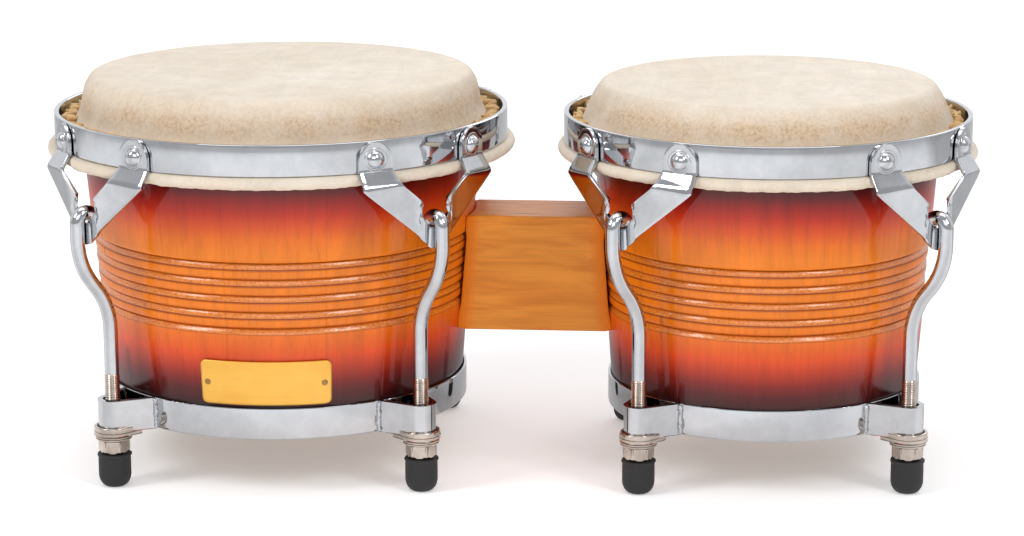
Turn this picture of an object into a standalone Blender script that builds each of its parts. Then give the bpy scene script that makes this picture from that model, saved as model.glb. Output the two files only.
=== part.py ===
"""Bongo drums: two tapered wooden shells joined by a wood block, with skin heads held down by
steel tension hoops, V-shaped lug brackets, hooked tension rods, flange nuts and rubber feet.

Frame: metres, +X along the pair with the large drum at -X, -Y is the front, +Z is up.
The origin is under the middle of the bounding box, on the plane that the feet stand on.
"""

import math

import bmesh
import bpy
from mathutils import Vector

MM = 0.001
GAP = 0.3 * MM                 # clearance between touching pieces
SEGMENTS = 32                  # facets round every turned drum part
SMALL_SEGMENTS = 12            # facets round nuts' bores, feet and bolts
MERGE = 0.00001

# ---- heights above the floor, shared by both drums ----
FOOT_HEIGHT = 18.0 * MM
NUT_BOTTOM = 18.4 * MM
NUT_TOP = 27.9 * MM
NUT_FLANGE_HEIGHT = 2.2 * MM
SADDLE_BOTTOM = 28.2 * MM
RING_BOTTOM = 30.5 * MM
RING_TOP = 47.2 * MM
ROLL_CENTRE_Z = 169.8 * MM
HOOP_BOTTOM = 173.0 * MM
HOOP_TOP = 189.5 * MM
RIVET_Z = 180.0 * MM

# ---- driving dimensions of each drum ----
AXIS_SPACING = 259.6 * MM
DRUMS = {
    "large": {
        "edge_radius": 101.6 * MM,      # playing edge, an 8 inch head
        "collar_radius": 107.2 * MM,    # skin at the height of the hoop's top
        "head_top": 208.5 * MM,
        "hoop_radius": 121.0 * MM,
        "roll_radius": 122.9 * MM,
        "shell_base": 92.4 * MM,        # shell's outer radius at floor height
        "taper": 0.081,                 # growth of the radius with height
        "ring_radius": 98.2 * MM,
        "rod_top_radius": 132.5 * MM,
        "rod_foot_radius": 114.2 * MM,
        "lug_turn": 1.2,                # hardware turned about the axis, degrees
    },
    "small": {
        "edge_radius": 88.9 * MM,       # a 7 inch head
        "collar_radius": 96.1 * MM,
        "head_top": 205.5 * MM,
        "hoop_radius": 107.8 * MM,
        "roll_radius": 109.7 * MM,
        "shell_base": 78.6 * MM,
        "taper": 0.0715,
        "ring_radius": 83.6 * MM,
        "rod_top_radius": 119.3 * MM,
        "rod_foot_radius": 98.8 * MM,
        "lug_turn": 4.5,
    },
}
LUG_ANGLES = (-135.0, -45.0, 45.0, 135.0)

# ---- shells ----
SHELL_WALL = 9.0 * MM
SHELL_BOTTOM = RING_BOTTOM + 2.1 * MM
TOP_ROUND = 6.0 * MM           # outer round-over of the bearing edge
INNER_ROUND = 2.0 * MM
CROWN_HEIGHT = 26.0 * MM       # straight-sided zone below the bearing edge
FIRST_GROOVE_Z = 125.0 * MM
GROOVE_PITCH = 8.7 * MM
GROOVE_COUNT = 5
GROOVE_DEPTH = 2.0 * MM
BEAD_DROP = 0.7 * MM           # bead crests lie below the main surface
TOP_SLOPE = 1.6 * MM           # height of the slope above the first groove
BOTTOM_SLOPE = 2.6 * MM

# ---- heads ----
SKIN = 1.4 * MM
HEAD_ROUND = 5.0 * MM          # skin's outer radius over the bearing edge
COLLAR_END = 186.0 * MM        # head above, sleeve of the rolled edge below
SLEEVE_WALL = 0.9 * MM
CURL_END = 480                 # the skin curls from 180 degrees round the flesh hoop to here
ROLL_TUBE = 3.0 * MM
FLESH_TUBE = 1.7 * MM

# ---- hoops and rings ----
HOOP_WALL = 2.7 * MM
RING_WALL = 1.4 * MM
RING_LIP = 6.0 * MM            # inward flange that the shell stands on
LIP_THICKNESS = 1.8 * MM
LOOP_STRIP = 2.2 * MM
LOOP_NOSE = 5.6 * MM           # inner radius of a loop's rounded end
LOOP_BASE = 12.0 * MM          # half width of a loop where it meets the ring

# ---- lug brackets ----
STRIP = 2.0 * MM
TAB_HALF = 9.2 * MM
TAB_REACH = 31.4 * MM          # rivet's distance from the lug's middle plane
JOGGLE_TOP = 174.0 * MM
JOGGLE_BOTTOM = 165.6 * MM
JOGGLE_OUT = 5.6 * MM
FOLD_TOP = 142.8 * MM
FOLD_BOTTOM = 131.7 * MM
RIVET_HEAD = 4.8 * MM
RIVET_RISE = 3.0 * MM
ARM_CORNER = (8.6 * MM, 152.4 * MM)    # arm's upper edge above the slot, as (across, height)
ARM_HEEL = (11.0 * MM, 139.4 * MM)     # arm's lower edge below that corner
SLOT_TOP = (6.4 * MM, 149.6 * MM)
SLOT_HEEL = (7.6 * MM, 136.2 * MM)
NOSE_HALF = 4.4 * MM                   # half width of the rounded fold between the arms

# ---- tension rods, M8 thread on a 6.9 mm shank ----
SHANK_RADIUS = 3.45 * MM
THREAD_RADIUS = 3.95 * MM
THREAD_TOP = 61.7 * MM
ROD_END = 4.4 * MM
HOOK_TIP_Z = 138.0 * MM
BEND_TOP = 121.0 * MM
BEND_BOTTOM = 97.0 * MM
BEND_RADIUS = 16.0 * MM

# ---- nuts, saddles and feet ----
NUT_CORNER = 8.2 * MM
NUT_FLANGE = 9.6 * MM
BORE = THREAD_RADIUS + GAP
SADDLE_PLATE = 2.0 * MM
SADDLE_LIP = 1.6 * MM
LIP_HALF_TURN = 64             # the lip's half angle round the rod, degrees
LIP_TOP = 32.9 * MM
SADDLE_TAIL_GAP = 4.0 * MM     # saddle's tail stops this far outside the ring
FOOT_RADIUS = 8.5 * MM
FOOT_RIM = 9.0 * MM
FOOT_FLAT = 4.2 * MM
FOOT_FLOOR = 3.9 * MM

# ---- centre block and its bolts ----
BLOCK_BOTTOM = 72.3 * MM
BLOCK_TOP = 134.6 * MM
BLOCK_HALF_DEPTH = 22.0 * MM
BOLT_RADIUS = 4.0 * MM
BOLT_HOLE = 4.4 * MM
BOLT_HEIGHTS = {"upper": 119.0 * MM, "lower": 88.0 * MM}
PLATE_HALF_WIDTH = 14.0 * MM
PLATE_THICKNESS = 2.5 * MM
PLATE_BOTTOM = 78.0 * MM
PLATE_TOP = 129.0 * MM
BOLT_HEAD_RADIUS = 7.0 * MM
BOLT_HEAD_HEIGHT = 4.5 * MM
BOLT_STUB = 3.0 * MM           # bolt that shows past its nut
BLOCK_NUT_CORNER = 7.5 * MM
BLOCK_NUT_HEIGHT = 6.5 * MM

# ---- badge ----
BADGE_ANGLE = -87.5
BADGE_HALF_TURN = 20.0
BADGE_BOTTOM = 49.0 * MM
BADGE_TOP = 72.5 * MM
BADGE_THICKNESS = 1.0 * MM
BADGE_PIN_RADIUS = 1.7 * MM
BADGE_PIN_TURN = 17.8
BADGE_PIN_RISE = 0.7 * MM
BADGE_STEPS = 10


def clear_scene():
    for item in list(bpy.data.objects):
        bpy.data.objects.remove(item, do_unlink=True)


def make_collection(name):
    collection = bpy.data.collections.new(name)
    bpy.context.scene.collection.children.link(collection)
    return collection


def make_material(name, colour, metallic, roughness, coat=0.0):
    material = bpy.data.materials.new(name)
    material.use_nodes = True
    shader = material.node_tree.nodes["Principled BSDF"]
    shader.inputs["Base Color"].default_value = (*colour, 1.0)
    shader.inputs["Metallic"].default_value = metallic
    shader.inputs["Roughness"].default_value = roughness
    shader.inputs["Coat Weight"].default_value = coat
    return material


def drum_x(drum):
    """Axis of a drum, with the origin in the middle of the bounding box."""
    shift = (DRUMS["large"]["roll_radius"] - DRUMS["small"]["roll_radius"]) / 2
    side = -1 if drum == "large" else 1
    return side * AXIS_SPACING / 2 + shift


def shell_radius(drum, z):
    return DRUMS[drum]["shell_base"] + DRUMS[drum]["taper"] * z


def lug_turn(drum, lug):
    return math.radians(LUG_ANGLES[lug] + DRUMS[drum]["lug_turn"])


def add_part(name, mesh, material, location=(0, 0, 0), turn=0.0):
    part = bpy.data.objects.new(name, mesh)
    part.location = location
    part.rotation_euler = (0, 0, turn)
    mesh.materials.append(material)
    parts.objects.link(part)
    return part


def add_cutter(name, mesh, location=(0, 0, 0), rotation=(0, 0, 0)):
    cutter = bpy.data.objects.new(name, mesh)
    cutter.location = location
    cutter.rotation_euler = rotation
    cutter.hide_render = True
    cutter.display_type = "WIRE"
    cutters.objects.link(cutter)
    return cutter


def combine(part, other, operation):
    modifier = part.modifiers.new(operation.lower() + "_" + other.name, "BOOLEAN")
    modifier.operation = operation
    modifier.solver = "EXACT"
    modifier.object = other


def shade_round(mesh):
    mesh.shade_smooth()
    mesh.set_sharp_from_angle(angle=math.radians(35))


def profile_mesh(name, points, closed):
    """Edge loop in the XZ plane, ready for a Screw modifier."""
    mesh = bpy.data.meshes.new(name)
    count = len(points)
    edges = [(i, i + 1) for i in range(count - 1)]
    if closed:
        edges.append((count - 1, 0))
    mesh.from_pydata([(r, 0, z) for r, z in points], edges, [])
    return mesh


def turn_profile(part, segments):
    screw = part.modifiers.new("turned", "SCREW")
    screw.angle = math.tau
    screw.steps = segments
    screw.render_steps = segments
    screw.use_merge_vertices = True
    screw.merge_threshold = MERGE
    weld = part.modifiers.new("axis_weld", "WELD")
    weld.merge_threshold = MERGE


def turned_part(name, points, material, location, segments=SEGMENTS, closed=True):
    part = add_part(name, profile_mesh(name, points, closed), material, location)
    turn_profile(part, segments)
    return part


def arc(centre, radius, start, end, steps):
    """Points of an arc in a profile plane, angles in degrees from +X towards +Z."""
    points = []
    for i in range(steps + 1):
        angle = math.radians(start + (end - start) * i / steps)
        points.append((centre[0] + radius * math.cos(angle), centre[1] + radius * math.sin(angle)))
    return points


def cylinder_mesh(name, radius, depth, segments=SMALL_SEGMENTS, top_radius=None):
    mesh = bpy.data.meshes.new(name)
    shape = bmesh.new()
    bmesh.ops.create_cone(shape, cap_ends=True, segments=segments, radius1=radius,
                          radius2=radius if top_radius is None else top_radius, depth=depth)
    shape.to_mesh(mesh)
    shape.free()
    return mesh


def box_mesh(name, size):
    mesh = bpy.data.meshes.new(name)
    shape = bmesh.new()
    bmesh.ops.create_cube(shape, size=1.0)
    bmesh.ops.scale(shape, vec=Vector(size), verts=shape.verts)
    shape.to_mesh(mesh)
    shape.free()
    return mesh


def skin_radius(drum, z):
    """Outer surface of the head's conical collar."""
    drum_size = DRUMS[drum]
    top = (drum_size["edge_radius"] + 1.2 * MM, drum_size["head_top"] - 4.5 * MM)
    middle = (drum_size["collar_radius"], HOOP_TOP)
    low = (drum_size["roll_radius"] - 2 * ROLL_TUBE + SLEEVE_WALL, ROLL_CENTRE_Z)
    (r0, z0), (r1, z1) = (top, middle) if z > middle[1] else (middle, low)
    return r0 + (r1 - r0) * (z - z0) / (z1 - z0)


# ---- wooden shells ----

def groove_points(drum):
    """The turned beads, from the top groove down: V grooves with low crests between them."""
    points = []
    half = GROOVE_PITCH / 2
    top = FIRST_GROOVE_Z + TOP_SLOPE
    points.append((shell_radius(drum, top), top))
    for groove in range(GROOVE_COUNT):
        z = FIRST_GROOVE_Z - groove * GROOVE_PITCH
        points.append((shell_radius(drum, z) - GROOVE_DEPTH, z))
        if groove < GROOVE_COUNT - 1:
            points.append((shell_radius(drum, z - half) - BEAD_DROP, z - half))
    bottom = FIRST_GROOVE_Z - (GROOVE_COUNT - 1) * GROOVE_PITCH - BOTTOM_SLOPE
    points.append((shell_radius(drum, bottom), bottom))
    return points


def shell_profile(drum):
    top = DRUMS[drum]["head_top"] - SKIN - GAP
    edge = DRUMS[drum]["edge_radius"] - 0.6 * MM
    crown = top - CROWN_HEIGHT
    shoulder = skin_radius(drum, HOOP_TOP) - SKIN - 2 * GAP
    points = arc((edge - TOP_ROUND, top - TOP_ROUND), TOP_ROUND, 90, 15, 4)
    points.append((min(shoulder, shell_radius(drum, HOOP_TOP)), HOOP_TOP))
    points.append((shell_radius(drum, crown), crown))
    points += groove_points(drum)
    points.append((shell_radius(drum, SHELL_BOTTOM), SHELL_BOTTOM))
    points.append((shell_radius(drum, SHELL_BOTTOM) - SHELL_WALL, SHELL_BOTTOM))
    points.append((shell_radius(drum, crown) - SHELL_WALL, crown))
    inner = edge - TOP_ROUND - 4.0 * MM
    points.append((inner, top - INNER_ROUND))
    points.append((inner + INNER_ROUND, top))
    return points


def add_shell(drum):
    place = (drum_x(drum), 0, 0)
    shell = turned_part(f"{drum}_shell", shell_profile(drum), lacquer, place)
    side = 1 if drum == "large" else -1
    for level, z in BOLT_HEIGHTS.items():
        hole = cylinder_mesh(f"{drum}_{level}_hole", BOLT_HOLE, 4 * SHELL_WALL)
        reach = drum_x(drum) + side * (shell_radius(drum, z) - SHELL_WALL / 2)
        cutter = add_cutter(f"{drum}_{level}_hole", hole, (reach, 0, z), (0, math.pi / 2, 0))
        combine(shell, cutter, "DIFFERENCE")


# ---- heads, flesh hoops and tension hoops ----

def add_head(drum):
    size = DRUMS[drum]
    top = size["head_top"]
    edge = size["edge_radius"]
    outer = [(0, top)] + arc((edge - HEAD_ROUND, top - HEAD_ROUND), HEAD_ROUND, 90, 30, 3)
    outer += [(skin_radius(drum, HOOP_TOP), HOOP_TOP), (skin_radius(drum, COLLAR_END), COLLAR_END)]
    inner = [(r - SKIN, z) for r, z in reversed(outer[1:])]
    inner[-1] = (inner[-1][0], top - SKIN)
    inner[-2] = (inner[-2][0] + 0.4 * MM, inner[-2][1] - 0.5 * MM)
    place = (drum_x(drum), 0, 0)
    turned_part(f"{drum}_drumhead", outer + inner + [(0, top - SKIN)], rawhide, place, closed=False)


def add_skin_roll(drum):
    """Rolled edge of the skin: a sleeve in line with the collar that curls round the flesh hoop."""
    centre = (DRUMS[drum]["roll_radius"] - ROLL_TUBE, ROLL_CENTRE_Z)
    top = COLLAR_END - GAP
    inner_curl = arc(centre, ROLL_TUBE - SLEEVE_WALL, 180, CURL_END, 5)
    outer_curl = arc(centre, ROLL_TUBE, CURL_END, 180, 5)
    sleeve = [(skin_radius(drum, top), top)]
    lining = [(skin_radius(drum, top) - SLEEVE_WALL, top)]
    place = (drum_x(drum), 0, 0)
    turned_part(f"{drum}_skin_roll", sleeve + inner_curl + outer_curl + lining, rawhide, place)
    ring = arc(centre, FLESH_TUBE, 90, -198, 4)
    turned_part(f"{drum}_flesh_hoop", ring, steel, place)


def add_tension_hoop(drum):
    radius = DRUMS[drum]["hoop_radius"]
    ease = 0.4 * MM
    points = [
        (radius - ease, HOOP_TOP),
        (radius, HOOP_TOP - ease),
        (radius, HOOP_BOTTOM),
        (radius - HOOP_WALL, HOOP_BOTTOM),
        (radius - HOOP_WALL, HOOP_TOP),
    ]
    turned_part(f"{drum}_tension_hoop", points, chrome, (drum_x(drum), 0, 0))


# ---- V-shaped lug brackets ----

def tab_row(drum, half, z, out):
    """One row across a tab: inner and outer points as (radial, tangential, height)."""
    hoop = DRUMS[drum]["hoop_radius"]
    lean = math.asin(TAB_REACH / hoop)
    reach = hoop + GAP + STRIP / 2 + out
    rows = []
    for side in (-half, half):
        radial = reach * math.cos(lean) - side * math.sin(lean)
        across = reach * math.sin(lean) + side * math.cos(lean)
        rows.append(Vector((radial, across, z)))
    return rows


def fold_radius(drum):
    return DRUMS[drum]["rod_top_radius"] - SHANK_RADIUS - GAP - STRIP / 2


def bracket_rows(drum):
    """Rows of a half bracket, from the round tab top down the arm to the fold."""
    rows = []
    for angle in (76, 55, 32, 12):
        half = TAB_HALF * math.cos(math.radians(angle))
        rows.append(tab_row(drum, half, RIVET_Z + TAB_HALF * math.sin(math.radians(angle)), 0))
    rows.append(tab_row(drum, TAB_HALF, JOGGLE_TOP + 0.8 * MM, 0))
    rows.append(tab_row(drum, TAB_HALF, JOGGLE_TOP - 0.6 * MM, 0.35 * MM))
    rows.append(tab_row(drum, TAB_HALF, JOGGLE_BOTTOM + 1.4 * MM, JOGGLE_OUT - 0.7 * MM))
    rows.append(tab_row(drum, TAB_HALF, JOGGLE_BOTTOM - 0.6 * MM, JOGGLE_OUT))
    knee = rows[-1]
    fold = fold_radius(drum)
    corner = Vector((fold - 0.7 * MM, *ARM_CORNER))
    heel = Vector((fold - 1.3 * MM, *ARM_HEEL))
    for share in (0.33, 0.67, 1.0):
        rows.append([knee[0].lerp(corner, share), knee[1].lerp(heel, share)])
    rows.append([Vector((fold - 0.6 * MM, *SLOT_TOP)), Vector((fold - 0.9 * MM, *SLOT_HEEL))])
    rows.append([Vector((fold - 0.4 * MM, NOSE_HALF, FOLD_TOP + 1.2 * MM)),
                 Vector((fold - 0.45 * MM, NOSE_HALF, FOLD_BOTTOM + 1.6 * MM))])
    rows.append([Vector((fold - 0.15 * MM, NOSE_HALF / 2, FOLD_TOP)),
                 Vector((fold - 0.15 * MM, NOSE_HALF / 2, FOLD_BOTTOM + 0.3 * MM))])
    rows.append([Vector((fold, 0, FOLD_TOP)), Vector((fold, 0, FOLD_BOTTOM))])
    return rows


def bracket_mesh(drum):
    mesh = bpy.data.meshes.new(f"{drum}_bracket")
    shape = bmesh.new()
    rows = [[shape.verts.new(point) for point in row] for row in bracket_rows(drum)]
    for above, below in zip(rows, rows[1:]):
        shape.faces.new((above[0], below[0], below[1], above[1]))
    shape.to_mesh(mesh)
    shape.free()
    return mesh


def rivet_mesh():
    """Domed rivet head along +Z, with a short shank that roots it in the tab."""
    mesh = bpy.data.meshes.new("rivet")
    shape = bmesh.new()
    bmesh.ops.create_uvsphere(shape, u_segments=8, v_segments=6, radius=RIVET_HEAD)
    low = [vert for vert in shape.verts if vert.co.z < -0.1 * MM]
    bmesh.ops.scale(shape, vec=Vector((1, 1, RIVET_RISE / RIVET_HEAD)), verts=shape.verts)
    for vert in low:
        vert.co.z = max(vert.co.z, -STRIP * 0.7)
    shape.to_mesh(mesh)
    shape.free()
    return mesh


def add_brackets(drum):
    mesh = bracket_mesh(drum)
    hoop = DRUMS[drum]["hoop_radius"]
    lean = math.asin(TAB_REACH / hoop)
    for lug in range(len(LUG_ANGLES)):
        turn = lug_turn(drum, lug)
        place = (drum_x(drum), 0, 0)
        bracket = add_part(f"{drum}_bracket_{lug + 1}", mesh.copy(), chrome, place, turn)
        mirror = bracket.modifiers.new("two_arms", "MIRROR")
        mirror.use_axis = (False, True, False)
        mirror.merge_threshold = MERGE
        solid = bracket.modifiers.new("strip", "SOLIDIFY")
        solid.thickness = STRIP
        solid.offset = 0.0
        solid.use_even_offset = True
        for side in (-1, 1):
            angle = turn + side * lean
            reach = hoop + GAP + STRIP
            spot = (drum_x(drum) + reach * math.cos(angle), reach * math.sin(angle), RIVET_Z)
            name = f"{drum}_rivet_{lug + 1}_{'ab'[side > 0]}"
            rivet = add_cutter(name, rivet_mesh(), spot, (0, math.pi / 2, angle))
            combine(bracket, rivet, "UNION")


# ---- tension rods ----

def rounded_corner(before, corner, after, radius, steps):
    """Points of a fillet of the given radius between two straight runs."""
    into = (corner - before).normalized()
    away = (after - corner).normalized()
    bend = into.angle(away)
    cut = radius * math.tan(bend / 2)
    start = corner - into * cut
    side = (away - into * into.dot(away)).normalized()
    centre = start + side * radius
    points = []
    for i in range(steps + 1):
        angle = bend * i / steps
        points.append(centre - side * radius * math.cos(angle) + into * radius * math.sin(angle))
    return points


def rod_path(drum):
    """Centre line of a hooked rod in its own (radial, height) plane."""
    size = DRUMS[drum]
    top, low = size["rod_top_radius"], size["rod_foot_radius"]
    hook = SHANK_RADIUS + GAP + STRIP / 2
    hook_centre = Vector((fold_radius(drum), FOLD_TOP - 0.2 * MM))
    points = [Vector((hook_centre.x - hook, HOOK_TIP_Z))]
    for i in range(7):
        angle = math.pi - math.pi * i / 6
        points.append(hook_centre + Vector((math.cos(angle), math.sin(angle))) * hook)
    upper = Vector((top, BEND_TOP))
    lower = Vector((low, BEND_BOTTOM))
    points += rounded_corner(points[-1], upper, lower, BEND_RADIUS, 3)
    points += rounded_corner(upper, lower, Vector((low, 0)), BEND_RADIUS, 3)
    points.append(Vector((low, THREAD_TOP + 0.4 * MM)))
    return points, [Vector((low, THREAD_TOP)), Vector((low, ROD_END))]


def add_rods(drum):
    shank, thread = rod_path(drum)
    path = shank + thread
    for lug in range(len(LUG_ANGLES)):
        curve = bpy.data.curves.new(f"{drum}_rod_{lug + 1}", "CURVE")
        curve.dimensions = "3D"
        curve.bevel_depth = SHANK_RADIUS
        curve.bevel_resolution = 2
        curve.use_fill_caps = True
        spline = curve.splines.new("POLY")
        spline.points.add(len(path) - 1)
        for i, (point, spot) in enumerate(zip(spline.points, path)):
            point.co = (spot.x, 0, spot.y, 1)
            point.radius = 1.0 if i < len(shank) else THREAD_RADIUS / SHANK_RADIUS
        add_part(f"{drum}_rod_{lug + 1}", curve, chrome, (drum_x(drum), 0, 0), lug_turn(drum, lug))


# ---- bottom rings with their welded loops ----

def prism_mesh(name, outline, low, high):
    """A closed outline in plan, raised from one height to another."""
    mesh = bpy.data.meshes.new(name)
    shape = bmesh.new()
    face = shape.faces.new([shape.verts.new((x, y, low)) for x, y in outline])
    raised = bmesh.ops.extrude_face_region(shape, geom=[face])["geom"]
    top = [item for item in raised if isinstance(item, bmesh.types.BMVert)]
    bmesh.ops.translate(shape, vec=(0, 0, high - low), verts=top)
    bmesh.ops.recalc_face_normals(shape, faces=shape.faces)
    shape.to_mesh(mesh)
    shape.free()
    return mesh


def mirrored(half):
    """A half outline at +Y, followed by its mirror image back along -Y."""
    return half + [(x, -y) for x, y in reversed(half)]


def loop_outline(drum, inset):
    """Half outline of a loop in plan, as (radial, tangential), inset from its inner face."""
    rod = DRUMS[drum]["rod_foot_radius"]
    across = LOOP_BASE + inset
    flat = DRUMS[drum]["ring_radius"] * math.cos(math.pi / SEGMENTS)
    root = math.sqrt(flat * flat - across * across) - 2 * GAP
    return [(root, across)] + arc((rod, 0), LOOP_NOSE + inset, 75, 15, 2)


def loop_mesh(drum):
    inner = mirrored(loop_outline(drum, 0))
    outer = mirrored(loop_outline(drum, LOOP_STRIP))
    return prism_mesh(f"{drum}_loop", outer + inner[::-1], RING_BOTTOM, RING_TOP)


def add_bottom_ring(drum):
    radius = DRUMS[drum]["ring_radius"]
    inner = radius - RING_WALL
    floor = RING_BOTTOM + LIP_THICKNESS
    points = [
        (radius, RING_TOP),
        (radius, RING_BOTTOM),
        (inner - RING_LIP, RING_BOTTOM),
        (inner - RING_LIP, floor),
        (inner, floor),
        (inner, RING_TOP),
    ]
    place = (drum_x(drum), 0, 0)
    ring = turned_part(f"{drum}_bottom_ring", points, chrome, place)
    for lug in range(len(LUG_ANGLES)):
        turn = (0, 0, lug_turn(drum, lug))
        loop = add_cutter(f"{drum}_loop_{lug + 1}", loop_mesh(drum), place, turn)
        combine(ring, loop, "UNION")


# ---- saddles, nuts and feet ----

def add_saddles(drum):
    """Cupped plate under a loop, with a raised lip round the loop's end."""
    rod = DRUMS[drum]["rod_foot_radius"]
    lip_inner = LOOP_NOSE + LOOP_STRIP + GAP
    lip_outer = lip_inner + SADDLE_LIP
    root = DRUMS[drum]["ring_radius"] + SADDLE_TAIL_GAP
    plate = mirrored([(root, lip_outer)] + arc((rod, 0), lip_outer, 70, 10, 3))
    beyond = lip_outer + MM
    lip_end = math.radians(LIP_HALF_TURN)
    corner = (rod + beyond * math.cos(lip_end), beyond * math.sin(lip_end))
    hollow = [(root - MM, beyond), (rod, beyond), corner]
    hollow = mirrored(hollow + arc((rod, 0), lip_inner, LIP_HALF_TURN, 10, 3))
    for lug in range(len(LUG_ANGLES)):
        turn = lug_turn(drum, lug)
        place = (drum_x(drum), 0, 0)
        mesh = prism_mesh(f"{drum}_saddle_{lug + 1}", plate, SADDLE_BOTTOM, LIP_TOP)
        saddle = add_part(mesh.name, mesh, nickel, place, turn)
        cup = prism_mesh("saddle_cup", hollow, SADDLE_BOTTOM + SADDLE_PLATE, LIP_TOP + MM)
        cutter = add_cutter(f"{drum}_saddle_cup_{lug + 1}", cup, place, (0, 0, turn))
        combine(saddle, cutter, "DIFFERENCE")
        spot = (drum_x(drum) + rod * math.cos(turn), rod * math.sin(turn), SADDLE_BOTTOM)
        hole = add_cutter(f"{drum}_saddle_hole_{lug + 1}", cylinder_mesh("hole", BORE, 8 * MM), spot)
        combine(saddle, hole, "DIFFERENCE")


def nut_mesh():
    """Hexagonal nut with a round flange on top and a through bore, about its own axis."""
    mesh = bpy.data.meshes.new("nut")
    shape = bmesh.new()
    flange = NUT_TOP - NUT_FLANGE_HEIGHT
    levels = [
        (NUT_BOTTOM, NUT_CORNER, 6), (flange, NUT_CORNER, 6),
        (flange, NUT_FLANGE, 1), (NUT_TOP, NUT_FLANGE, 1),
        (NUT_TOP, BORE, 1), (NUT_BOTTOM, BORE, 1),
    ]
    rings = []
    for z, radius, sides in levels:
        ring = []
        for i in range(SMALL_SEGMENTS):
            angle = math.tau * i / SMALL_SEGMENTS
            reach = radius
            if sides == 6 and i % 2:
                reach = radius * math.cos(math.pi / 6)
            ring.append(shape.verts.new((reach * math.cos(angle), reach * math.sin(angle), z)))
        rings.append(ring)
    for ring, following in zip(rings, rings[1:] + rings[:1]):
        for i in range(SMALL_SEGMENTS):
            j = (i + 1) % SMALL_SEGMENTS
            shape.faces.new((ring[i], ring[j], following[j], following[i]))
    bmesh.ops.recalc_face_normals(shape, faces=shape.faces)
    shape.to_mesh(mesh)
    shape.free()
    return mesh


def add_nuts_and_feet(drum):
    rod = DRUMS[drum]["rod_foot_radius"]
    curve = FOOT_RADIUS - FOOT_FLAT
    for lug in range(len(LUG_ANGLES)):
        turn = lug_turn(drum, lug)
        spot = (drum_x(drum) + rod * math.cos(turn), rod * math.sin(turn), 0)
        add_part(f"{drum}_nut_{lug + 1}", nut_mesh(), nickel, spot, turn)
        profile = [(BORE, FOOT_HEIGHT), (FOOT_RIM, FOOT_HEIGHT), (FOOT_RADIUS, FOOT_HEIGHT - 3 * MM)]
        profile += arc((FOOT_FLAT, curve), curve, 0, -90, 3)
        profile += [(0, 0), (0, FOOT_FLOOR), (BORE, FOOT_FLOOR)]
        mesh = profile_mesh(f"{drum}_foot_{lug + 1}", profile, True)
        foot = add_part(f"{drum}_foot_{lug + 1}", open_axis(mesh), rubber, spot)
        turn_profile(foot, SMALL_SEGMENTS)


def open_axis(mesh):
    """Removes the edge that lies on the turning axis, so that the turned body closes there."""
    shape = bmesh.new()
    shape.from_mesh(mesh)
    axis = [edge for edge in shape.edges if all(abs(v.co.x) < MERGE for v in edge.verts)]
    bmesh.ops.delete(shape, geom=axis, context="EDGES")
    shape.to_mesh(mesh)
    shape.free()
    return mesh


# ---- centre block, bolts and badge ----

def add_centre_block():
    """Hardwood block with concave, tapering ends that seat on the shells."""
    left, right = drum_x("large"), drum_x("small")
    size = (right - left, 2 * BLOCK_HALF_DEPTH, BLOCK_TOP - BLOCK_BOTTOM)
    middle = (BLOCK_TOP + BLOCK_BOTTOM) / 2
    centre = (left + right) / 2
    block = add_part("centre_block", box_mesh("centre_block", size), maple, (centre, 0, middle))
    for drum in DRUMS:
        low, high = BLOCK_BOTTOM - 10 * MM, BLOCK_TOP + 10 * MM
        facet = math.cos(math.pi / SEGMENTS)
        cone = cylinder_mesh(f"{drum}_seat", (shell_radius(drum, low) + GAP) / facet, high - low,
                             SEGMENTS, (shell_radius(drum, high) + GAP) / facet)
        cutter = add_cutter(f"{drum}_seat", cone, (drum_x(drum), 0, (low + high) / 2))
        combine(block, cutter, "DIFFERENCE")
    for level, z in BOLT_HEIGHTS.items():
        bore = cylinder_mesh(f"block_{level}_bore", BOLT_HOLE, AXIS_SPACING)
        cutter = add_cutter(f"block_{level}_bore", bore, (centre, 0, z), (0, math.pi / 2, 0))
        combine(block, cutter, "DIFFERENCE")


def plate_x(drum):
    """Middle of the flat backing plate, clear of the curved and tapering inner wall."""
    side = 1 if drum == "large" else -1
    radius = shell_radius(drum, PLATE_BOTTOM) - SHELL_WALL - GAP
    near = math.sqrt(radius * radius - PLATE_HALF_WIDTH ** 2) - PLATE_THICKNESS / 2
    return drum_x(drum) + side * near


def add_backing_plate(drum):
    size = (PLATE_THICKNESS, 2 * PLATE_HALF_WIDTH, PLATE_TOP - PLATE_BOTTOM)
    spot = (plate_x(drum), 0, (PLATE_TOP + PLATE_BOTTOM) / 2)
    plate = add_part(f"backing_plate_{drum}", box_mesh("plate", size), steel, spot)
    for level, z in BOLT_HEIGHTS.items():
        hole = cylinder_mesh(f"plate_{drum}_{level}_hole", BOLT_HOLE, 4 * PLATE_THICKNESS)
        cutter = add_cutter(hole.name, hole, (plate_x(drum), 0, z), (0, math.pi / 2, 0))
        combine(plate, cutter, "DIFFERENCE")


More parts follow.
